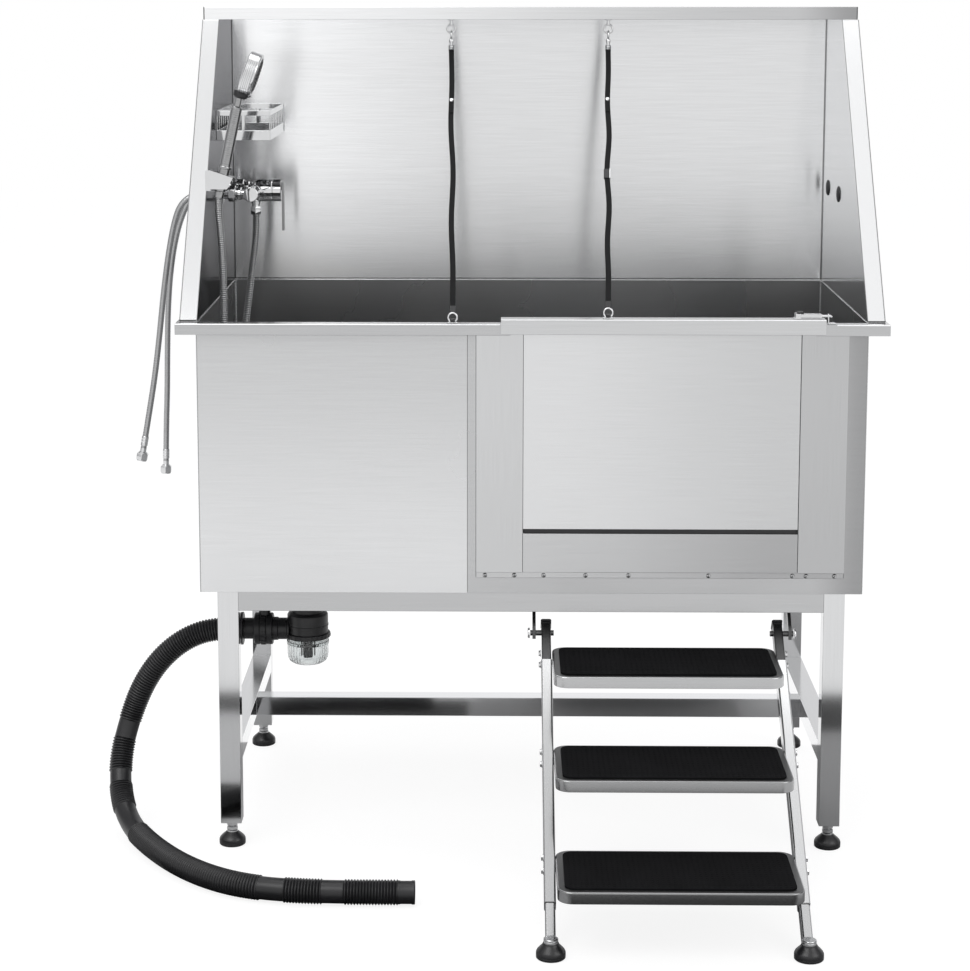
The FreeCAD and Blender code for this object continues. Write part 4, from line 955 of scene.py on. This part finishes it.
MIXER_X = -540
body = Shape()
body.turned(((0.1, 0), (12.8, 0), (14, 0.7), (14.4, 2), (14, 4), (14, 56), (14.8, 57), (14.8, 61), (14, 62),
             (14, 148), (14.8, 149), (14.8, 153), (14, 154), (14, 207), (13.2, 209), (11.5, 210), (0.1, 210)),
            V(MIXER_X, 60, UNION_Z), CHROME, Y, 48)
for y in (90, 240):
    body.turned(((9, 0), (12.6, 0.4), (12.6, 6), (10.4, 8), (10.4, 24), (9, 26)), V(-567.5, y, UNION_Z), CHROME, X, 36)
body.turned(((12, 0), (20, 2), (22, 6), (22, 31), (21.2, 33.6), (19, 34), (0.1, 34)), V(MIXER_X, 165, UNION_Z),
            CHROME, X, 56)
body.turned(((8, 0), (8, 14), (9.5, 15), (9.5, 18), (8.2, 19), (8.2, 31), (0.1, 32)), V(MIXER_X, 165, UNION_Z - 8),
            CHROME, -Z, 36)
body.nut(V(MIXER_X, 165, 1146.5), -Z, 11.4, 16, CHROME)
stand_for(body.finish("mixer_valve"), "mixer_body")
eased("mixer_cap", CHROME, 1.6, 4)
# The lever takes the dark line steel instead of chrome: painted shade.
eased("mixer_lever", SHADE_STEEL, 1.4, 4)
holder = eased("shower_holder", CHROME, 1.6, 4)
# The holder's nose stands further right than in CAD, to follow the photograph under this camera.
NOSE_START, NOSE_SHIFT = -0.5895, 6 * MM
for vertex in holder.data.vertices:
    if vertex.co.x > NOSE_START:
        vertex.co.x += NOSE_SHIFT

LEAN = Vector((25, 0, 116)).normalized()
HANDLE_FOOT = V(-574.5, -143, 1204)
handle = Shape()
stripes = []
for i in range(27):
    z = 47 + 4 * i
    stripes += [(10.5, z), (10.5, z + 2.6), (10.15, z + 3.0), (10.15, z + 3.6)]
handle.turned(((5, -14), (8.8, -13.5), (9.4, -12), (9.4, -3), (8.8, -2), (9.4, -1), (10.5, 0.5), (10.5, 40.6),
               (12.6, 41.4), (13, 42.5), (13, 44.8), (12.4, 46), (10.5, 46.6), *stripes, (10.4, 155.5), (9.3, 157.5),
               (6.6, 158.6), (6.4, 184), (0.1, 185)), HANDLE_FOOT, GRIP, LEAN, 44)
stand_for(handle.finish("hand_shower_grip"), "hand_shower_handle")

NECK_TOP = HANDLE_FOOT + LEAN * (158 + 28) * MM
HEAD_AXIS = Vector((76, 0, -27)).normalized()
HEAD_MIDDLE = NECK_TOP + V(20, 0, 32)
head = Shape()
bands = []
for i in range(5):
    z = -9.5 + 3.4 * i
    bands += [(41, z), (41, z + 2.2), (39.7, z + 2.6), (39.7, z + 3.1)]
head.turned(((0.1, -13), (30, -13), (36.5, -12.2), (39.6, -10.8), *bands, (41, 8), (40.6, 10.6), (39, 12.4),
             (36.5, 13), (34.5, 12.2), (0.1, 12.2)), HEAD_MIDDLE, HEAD_STEEL, HEAD_AXIS, 72)
head.turned(((0.1, 12), (33.6, 12), (33.6, 12.9), (32.5, 13.4), (0.1, 13.6)), HEAD_MIDDLE, BLACK_PLASTIC, HEAD_AXIS,
            64)
head_u = side_of(HEAD_AXIS)
head_v = HEAD_AXIS.cross(head_u)
for ring_radius, count in ((6, 6), (13, 12), (20, 18), (27, 26)):
    for i in range(count):
        turn = 2 * math.pi * i / count
        spot = HEAD_MIDDLE + (head_u * math.cos(turn) + head_v * math.sin(turn)) * ring_radius * MM
        head.turned(((0.1, 13), (1.3, 13.2), (1.1, 14.6), (0.1, 14.8)), spot, RUBBER, HEAD_AXIS, 8)
collar_low = HANDLE_FOOT + LEAN * 173 * MM + V(2.5, 0, 0)
head.turned(((6, 0), (9.4, 0.5), (12.4, 2), (13.8, 5), (13.8, 12), (12.2, 14.5), (6, 15.5)), collar_low,
            BLACK_PLASTIC, LEAN, 40)
head.beam(collar_low + LEAN * 3 * MM, HEAD_MIDDLE - Vector((-HEAD_AXIS.z, 0, HEAD_AXIS.x)) * 33 * MM, Y, 21, 21, 5,
          BLACK_PLASTIC, 2)
head.turned(((2, 0), (4.2, 0.4), (4.6, 2), (4.6, 5), (3.6, 6.6), (0.1, 7)), collar_low + LEAN * 6 * MM + X * 12 * MM,
            BLACK_PLASTIC, X, 28)
stand_for(head.finish("shower_head_rose"), "hand_shower_head")

eased("caddy", CHROME, 0.7, 3)


# ---------------------------------------------------------------- drain

def knurl(shape, centre, axis, first, radius, count, span, width, depth):
    """Grip ribs round a turned part, the first of them in a given direction."""
    for i in range(count):
        turn = 2 * math.pi * i / count
        out = first * math.cos(turn) + axis.cross(first) * math.sin(turn)
        low, high = (centre + out * radius * MM + axis * height * MM for height in span)
        shape.beam(low, high, axis.cross(out), width, depth, 0.6, BLACK_PLASTIC, 0.4, 2)


TRAP = V(-420, -150, 351)
trap = Shape()
trap.turned(((24, 78), (24, 74.5), (29.5, 74), (31, 72.5), (31, 56), (33, 54), (36.5, 52.6), (38.5, 49.5),
             (38.5, 31.5), (39.3, 31), (39.3, 28.5), (38.5, 28), (38.5, 15.5), (42, 14.6), (42.5, 13.5), (42.5, 7),
             (41.8, 6.2), (35.5, 6), (35.5, 48), (24, 48.2)), TRAP, BLACK_PLASTIC, Z, 72)
knurl(trap, TRAP, Z, X, 42.3, 24, (7.2, 13), 3.2, 2.0)
trap.turned(((14, 0), (22, 0), (22, 9), (20.4, 10.5), (20.4, 26), (23.4, 27.5), (23.4, 31), (14, 31.5)),
            V(-485.5, -150, 372), BLACK_PLASTIC, X, 48)
trap.turned(((10, 0), (12, 4), (12, 34), (10, 35)), TRAP - Z * 34 * MM, BLACK_PLASTIC, Z, 32)
stand_for(trap.finish("trap_shell"), "trap_body")

cup = Shape()
RIBS = (36, 0.012)
cup.turned(((38.5, 5.5), (38.5, -24), (37.6, -32), (34.5, -38.5), (29, -42.5), (22, -44.3), (0.1, -44.6),
            (0.1, -42.4), (21.5, -42.2), (27.8, -40.6), (32.8, -37), (35.6, -31.4), (36.5, -24), (36.5, 5.5)),
           TRAP - Z * 0.3 * MM, CLEAR, Z, 216, RIBS)
cup = cup.finish("trap_clear_cup")
stand_for(cup, "trap_cup")
rim = Shape().turned(((38.4, -6.4), (40.2, -6), (40.2, -1), (38.4, -0.6)), TRAP, CLEAR, Z, 72)
go_with(rim.finish("trap_cup_rim"), "trap_cup")

union = Shape()
union.turned(((14, 0), (28.5, 0), (30, 1.5), (30, 10), (29, 11), (30, 12), (30, 22), (29, 23), (30, 24), (30, 33.5),
              (28.5, 35), (14, 35)), V(-520.5, -150, 372), BLACK_PLASTIC, X, 64)
knurl(union, V(-520.5, -150, 372), X, Y, 29.8, 18, (12.5, 21.5), 4, 2.2)
union.turned(((14, 0), (31, 0), (31, 4.4), (29.5, 5), (20, 5.4), (20, 26), (14, 26.5)), V(-546.5, -150, 372),
             BLACK_PLASTIC, X, 64)
union.turned(((0.1, 20), (11, 20), (11, 42), (12.2, 43), (11, 46), (12.2, 47), (11, 50), (12.2, 51), (11, 54),
              (11, 60.5), (10, 62), (7, 62), (7, 50), (0.1, 50)), V(-501.5, -150, 372), BLACK_PLASTIC, Z, 36)
stand_for(union.finish("drain_union_nut"), "drain_union")
eased("drain_flange", BRIGHT, 0.5, 2)
eased("drain_strainer", BRIGHT, 0.4, 2)


# ---------------------------------------------------------------- ladder

PIN = V(0, -298, 406)
DOWN = Vector((0, -517, -406)).normalized()
LIFT = X.cross(DOWN).normalized()
if LIFT.z < 0:
    LIFT = -LIFT
STRINGERS = (29, 452)
LENGTH = math.hypot(517, 406)
ARM = 72
stringers = Shape()
for x in STRINGERS:
    top = PIN + X * x * MM
    stringers.beam(top - DOWN * 19 * MM, top + DOWN * ARM * MM, X, 17, 26, 3, DARK_STEEL, 0.8)
    stringers.beam(top + DOWN * (ARM - 4) * MM, top + DOWN * (LENGTH - 94) * MM, X, 20, 30, 3.4, STRINGER, 1.2)
stand_for(stringers.finish("ladder_rails"), "ladder_stringers")
caps = Shape()
for x in STRINGERS:
    top = PIN + X * x * MM - DOWN * 18.5 * MM
    caps.beam(top - DOWN * 3.5 * MM, top, X, 19.4, 29.2, 3.2, BLACK_PLASTIC, 1.3)
    caps.beam(top, top + DOWN * 6 * MM, X, 18, 27, 3, BLACK_PLASTIC, 0.4)
    end = PIN + X * x * MM + DOWN * (LENGTH - 94.2) * MM
    caps.beam(end, end + DOWN * 1.2 * MM, X, 18.6, 28.6, 3, BLACK_PLASTIC, 0.4)
stand_for(caps.finish("ladder_caps"), "ladder_end_caps")
legs = Shape()
for x in STRINGERS:
    start = PIN + X * x * MM
    legs.beam(start + DOWN * (LENGTH - 186) * MM, start + DOWN * (LENGTH - 14) * MM, X, 17, 27, 3, LEG_STEEL, 0.8)
    # Dark steel discs for the adjustment holes: painted shade in the holes.
    for hole in (84, 70, 56):
        spot = start + DOWN * (LENGTH - hole) * MM - X * 8.1 * MM
        legs.turned(((0.1, 0), (3.0, 0), (3.4, 0.25), (3.0, 0.4), (0.1, 0.2)), spot, DARK_STEEL, -X, 20)
stand_for(legs.finish("ladder_inner_legs"), "ladder_sliding_legs")
boots = Shape()
for x in STRINGERS:
    foot = V(x, -815, 0)
    boots.turned(((0.1, 0), (23, 0), (24.4, 1.4), (24.6, 4.5), (24, 5), (24, 6), (24.6, 6.5), (24.4, 10.5),
                  (23, 13.6), (19.6, 17.4), (15.6, 21.2), (13.6, 24), (13, 26), (0.1, 26.2)), foot, GLOSS_BLACK, Z, 56)
    boots.turned(((9, 25.6), (12.4, 26), (12.4, 28.6), (11.4, 29.4), (12.2, 30.2), (12.2, 32.6), (11.4, 33.4),
                  (9, 33.6)), foot, BRIGHT, Z, 40)
stand_for(boots.finish("ladder_boots"), "ladder_feet")

bolts = Shape()
for middle, size in islands("ladder_bolts"):
    out = -X if middle.x < 0.24 else X
    start = middle - out * 1.5 * MM
    bolts.turned(((0.1, 0), (6.4, 0), (6.4, 1), (0.1, 1)), start, BRIGHT, out, 28)
    bolts.nut(start + out * 1 * MM, out, 5, 3.2, BRIGHT)
stand_for(bolts.finish("ladder_bolt_heads"), "ladder_bolts")


def rounded_rect(middle, width, depth, radius, level, inset=0.0, steps=8):
    return [Vector((middle.x + a, middle.y + b, level))
            for a, b in rounded_section(width - 2 * inset, depth - 2 * inset, max(radius - inset, 0.5 * MM), steps)]


treads, mats = Shape(), Shape()
for (middle, size), (mat_middle, mat_size) in zip(islands("ladder_treads"), islands("ladder_mats")):
    top, bottom = middle.z + size.z / 2, middle.z - size.z / 2
    rings = [rounded_rect(middle, size.x, size.y, 25 * MM, level, inset)
             for level, inset in ((bottom, 0.3 * MM), (bottom + 0.6 * MM, 0), (top - 2.6 * MM, 0),
                                  (top - 1.2 * MM, 0.5 * MM), (top - 0.3 * MM, 1.6 * MM), (top, 3.2 * MM),
                                  (top, 11 * MM), (top - 1.2 * MM, 11.2 * MM), (top - 1.2 * MM, 3.4 * MM),
                                  (top - 2.8 * MM, 1.6 * MM), (bottom, 1.6 * MM))]
    treads.shell(rings, STEP, ends=False)
    treads.shell([rounded_rect(middle, size.x, size.y, 25 * MM, level, 10.8 * MM)
                  for level in (top - 1.3 * MM, top - 0.05 * MM)], STEP)
    base = mat_middle.z - mat_size.z / 2
    rings = [rounded_rect(mat_middle, mat_size.x, mat_size.y, 17 * MM, base + level * MM, inset * MM)
             for level, inset in ((-0.1, 0), (2.0, 0), (2.7, 0.4), (3.0, 1.2))]
    mats.shell(rings, MAT_RUBBER)
    rows, columns = int(mat_size.y / (9 * MM)), int(mat_size.x / (9 * MM))
    for i in range(1, columns):
        for j in range(1, rows):
            spot = Vector((mat_middle.x - mat_size.x / 2 + i * mat_size.x / columns,
                           mat_middle.y - mat_size.y / 2 + j * mat_size.y / rows, base + 2.9 * MM))
            mats.turned(((2.4, 0), (2.0, 0.45), (0.1, 0.6)), spot, MAT_RUBBER, Z, 8)
treads = treads.finish("ladder_step_pans")
# The level faces of the pans take the dark margin steel: painted reflection.
treads.data.materials.append(STEP_TOP)
for face in treads.data.polygons:
    if face.normal.z > 0.9:
        face.material_index = 1
stand_for(treads, "ladder_treads")
stand_for(mats.finish("ladder_step_mats"), "ladder_mats")

eased("ladder_brackets", DARK_STEEL, 0.8, 3)
pin_caps = Shape()
for x, out in ((-1, -X), (482, X)):
    pin_caps.turned(((0.1, 0), (9.5, 0), (9.5, 2.2), (8.4, 3.6), (0.1, 4)), V(x, -298, 406), BRIGHT, out, 32)
go_with(pin_caps.finish("ladder_pin_caps"), "ladder_brackets")


# ---------------------------------------------------------------- straps

BAR_UNDER = 1513.5
STRAP_TOPS, STRAP_FEET = (-152, 152), (-141, 136)
HOOK_Y, RING_Y = 124, -331
fittings, rings_at = Shape(), []
for x in STRAP_TOPS:
    fittings.turned(((0.1, 0), (7, 0), (7, 1.5), (3.2, 2.4), (3.2, 10), (0.1, 10.2)), V(x, HOOK_Y, BAR_UNDER), BRIGHT,
                    -Z, 28)
    fittings.loop(V(x, HOOK_Y, BAR_UNDER - 18), Y, 8, 1.9, BRIGHT)
    fittings.loop(V(x, HOOK_Y, BAR_UNDER - 29.9), X, 8, 1.8, BRIGHT)
    fittings.turned(((0.1, 0), (3.4, 0.4), (4.6, 3), (4.6, 6), (3.4, 8), (3.2, 13), (4.8, 14), (4.8, 16.5),
                     (0.1, 17)), V(x, HOOK_Y, BAR_UNDER - 37), BRIGHT, -Z, 24)
for x, level in zip(STRAP_FEET, (983, 992)):
    ring = fittings if x < 0 else Shape()
    ring.block(V(x - 9, RING_Y - 6, level), V(x + 9, RING_Y + 6, level + 2), 2, BRIGHT)
    ring.loop(V(x, RING_Y, level + 10.5), Y, 8, 1.8, BRIGHT)
    ring.turned(((0.1, 0), (4.4, 0.2), (5.4, 1.6), (5.4, 4.4), (4.2, 6), (0.1, 6.4)), V(x, RING_Y + 1, level + 2),
                GLOSS_BLACK, Z, 28)
    rings_at.append(ring)
stand_for(fittings.finish("strap_hooks"), "strap_fittings")
stand_for(rings_at[1].finish("door_ring"), "door_strap_ring")


def ribbon(shape, points, width, gauge, material):
    """A flat woven strap along points, its width along X, with a thicker rolled edge."""
    rings = []
    for i, point in enumerate(points):
        before, after = points[max(i - 1, 0)], points[min(i + 1, len(points) - 1)]
        way = (after - before).normalized()
        side = (X - way * X.dot(way)).normalized()
        up = way.cross(side)
        ring = []
        for a, b in ((1, 0.55), (0.86, 1), (0.45, 0.8), (0, 0.86), (-0.45, 0.8), (-0.86, 1), (-1, 0.55),
                     (-1, -0.55), (-0.86, -1), (-0.45, -0.8), (0, -0.86), (0.45, -0.8), (0.86, -1), (1, -0.55)):
            ring.append(point + side * a * width / 2 + up * b * (gauge / 2))
        rings.append(ring)
    shape.shell(rings, material)


def strap_points(top, foot, waves, count=160):
    """Points down a strap that hangs with a slight waver across its width."""
    points = []
    for i in range(count + 1):
        share = i / count
        waver = 2.0 * MM * math.sin(waves * math.pi * share) * math.sin(math.pi * share)
        points.append(top.lerp(foot, share) + X * waver)
    return points


for name, x_top, x_foot, level in zip(("left", "right"), STRAP_TOPS, STRAP_FEET, (983, 992)):
    top, foot = V(x_top, HOOK_Y, BAR_UNDER - 52.5), V(x_foot, RING_Y + 6, level + 21.5)
    way = (foot - top).normalized()
    out = way.cross(X).normalized()
    if out.y > 0:
        out = -out
    strap = Shape()
    run = strap_points(top, foot, 5 if name == "left" else 7)
    ribbon(strap, run, 10 * MM, 2 * MM, WEBBING)
    for first, last in ((1, 44), (-16, -2)):
        ribbon(strap, [point + out * 1.9 * MM for point in run[first:last]], 9.6 * MM, 1.6 * MM, WEBBING)
    strap.turned(((0.1, 0), (4.2, 0.2), (3.6, 1.4), (2.2, 2), (0.1, 2.1)), run[35] + out * 2.4 * MM, BRIGHT, out, 24)
    collar = top + way * 2 * MM
    strap.beam(collar - way * 4 * MM, collar + way * 8 * MM, X, 11.6, 5.4, 1.2, BRIGHT, 0.5)
    end = foot - way * 10 * MM
    strap.beam(end, end + way * 14 * MM, X, 11.6, 5.4, 1.2, BLACK_PLASTIC, 0.5)
    if name == "right":
        buckle = run[82]
        strap.beam(buckle - way * 11 * MM, buckle + way * 11 * MM, X, 12.5, 5.6, 1.4, BLACK_PLASTIC, 0.6)
        strap.beam(buckle - way * 12 * MM + X * 5.2 * MM, buckle + way * 12 * MM + X * 5.2 * MM, X, 2.6, 6.6, 1.1,
                   BRIGHT, 0.5)
    piece = strap.finish(f"tether_{name}")
    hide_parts(f"strap_{name}")
    if name == "left":
        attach(piece, "root")
    else:
        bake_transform(piece)


# ---------------------------------------------------------------- last update

bpy.context.view_layer.update()
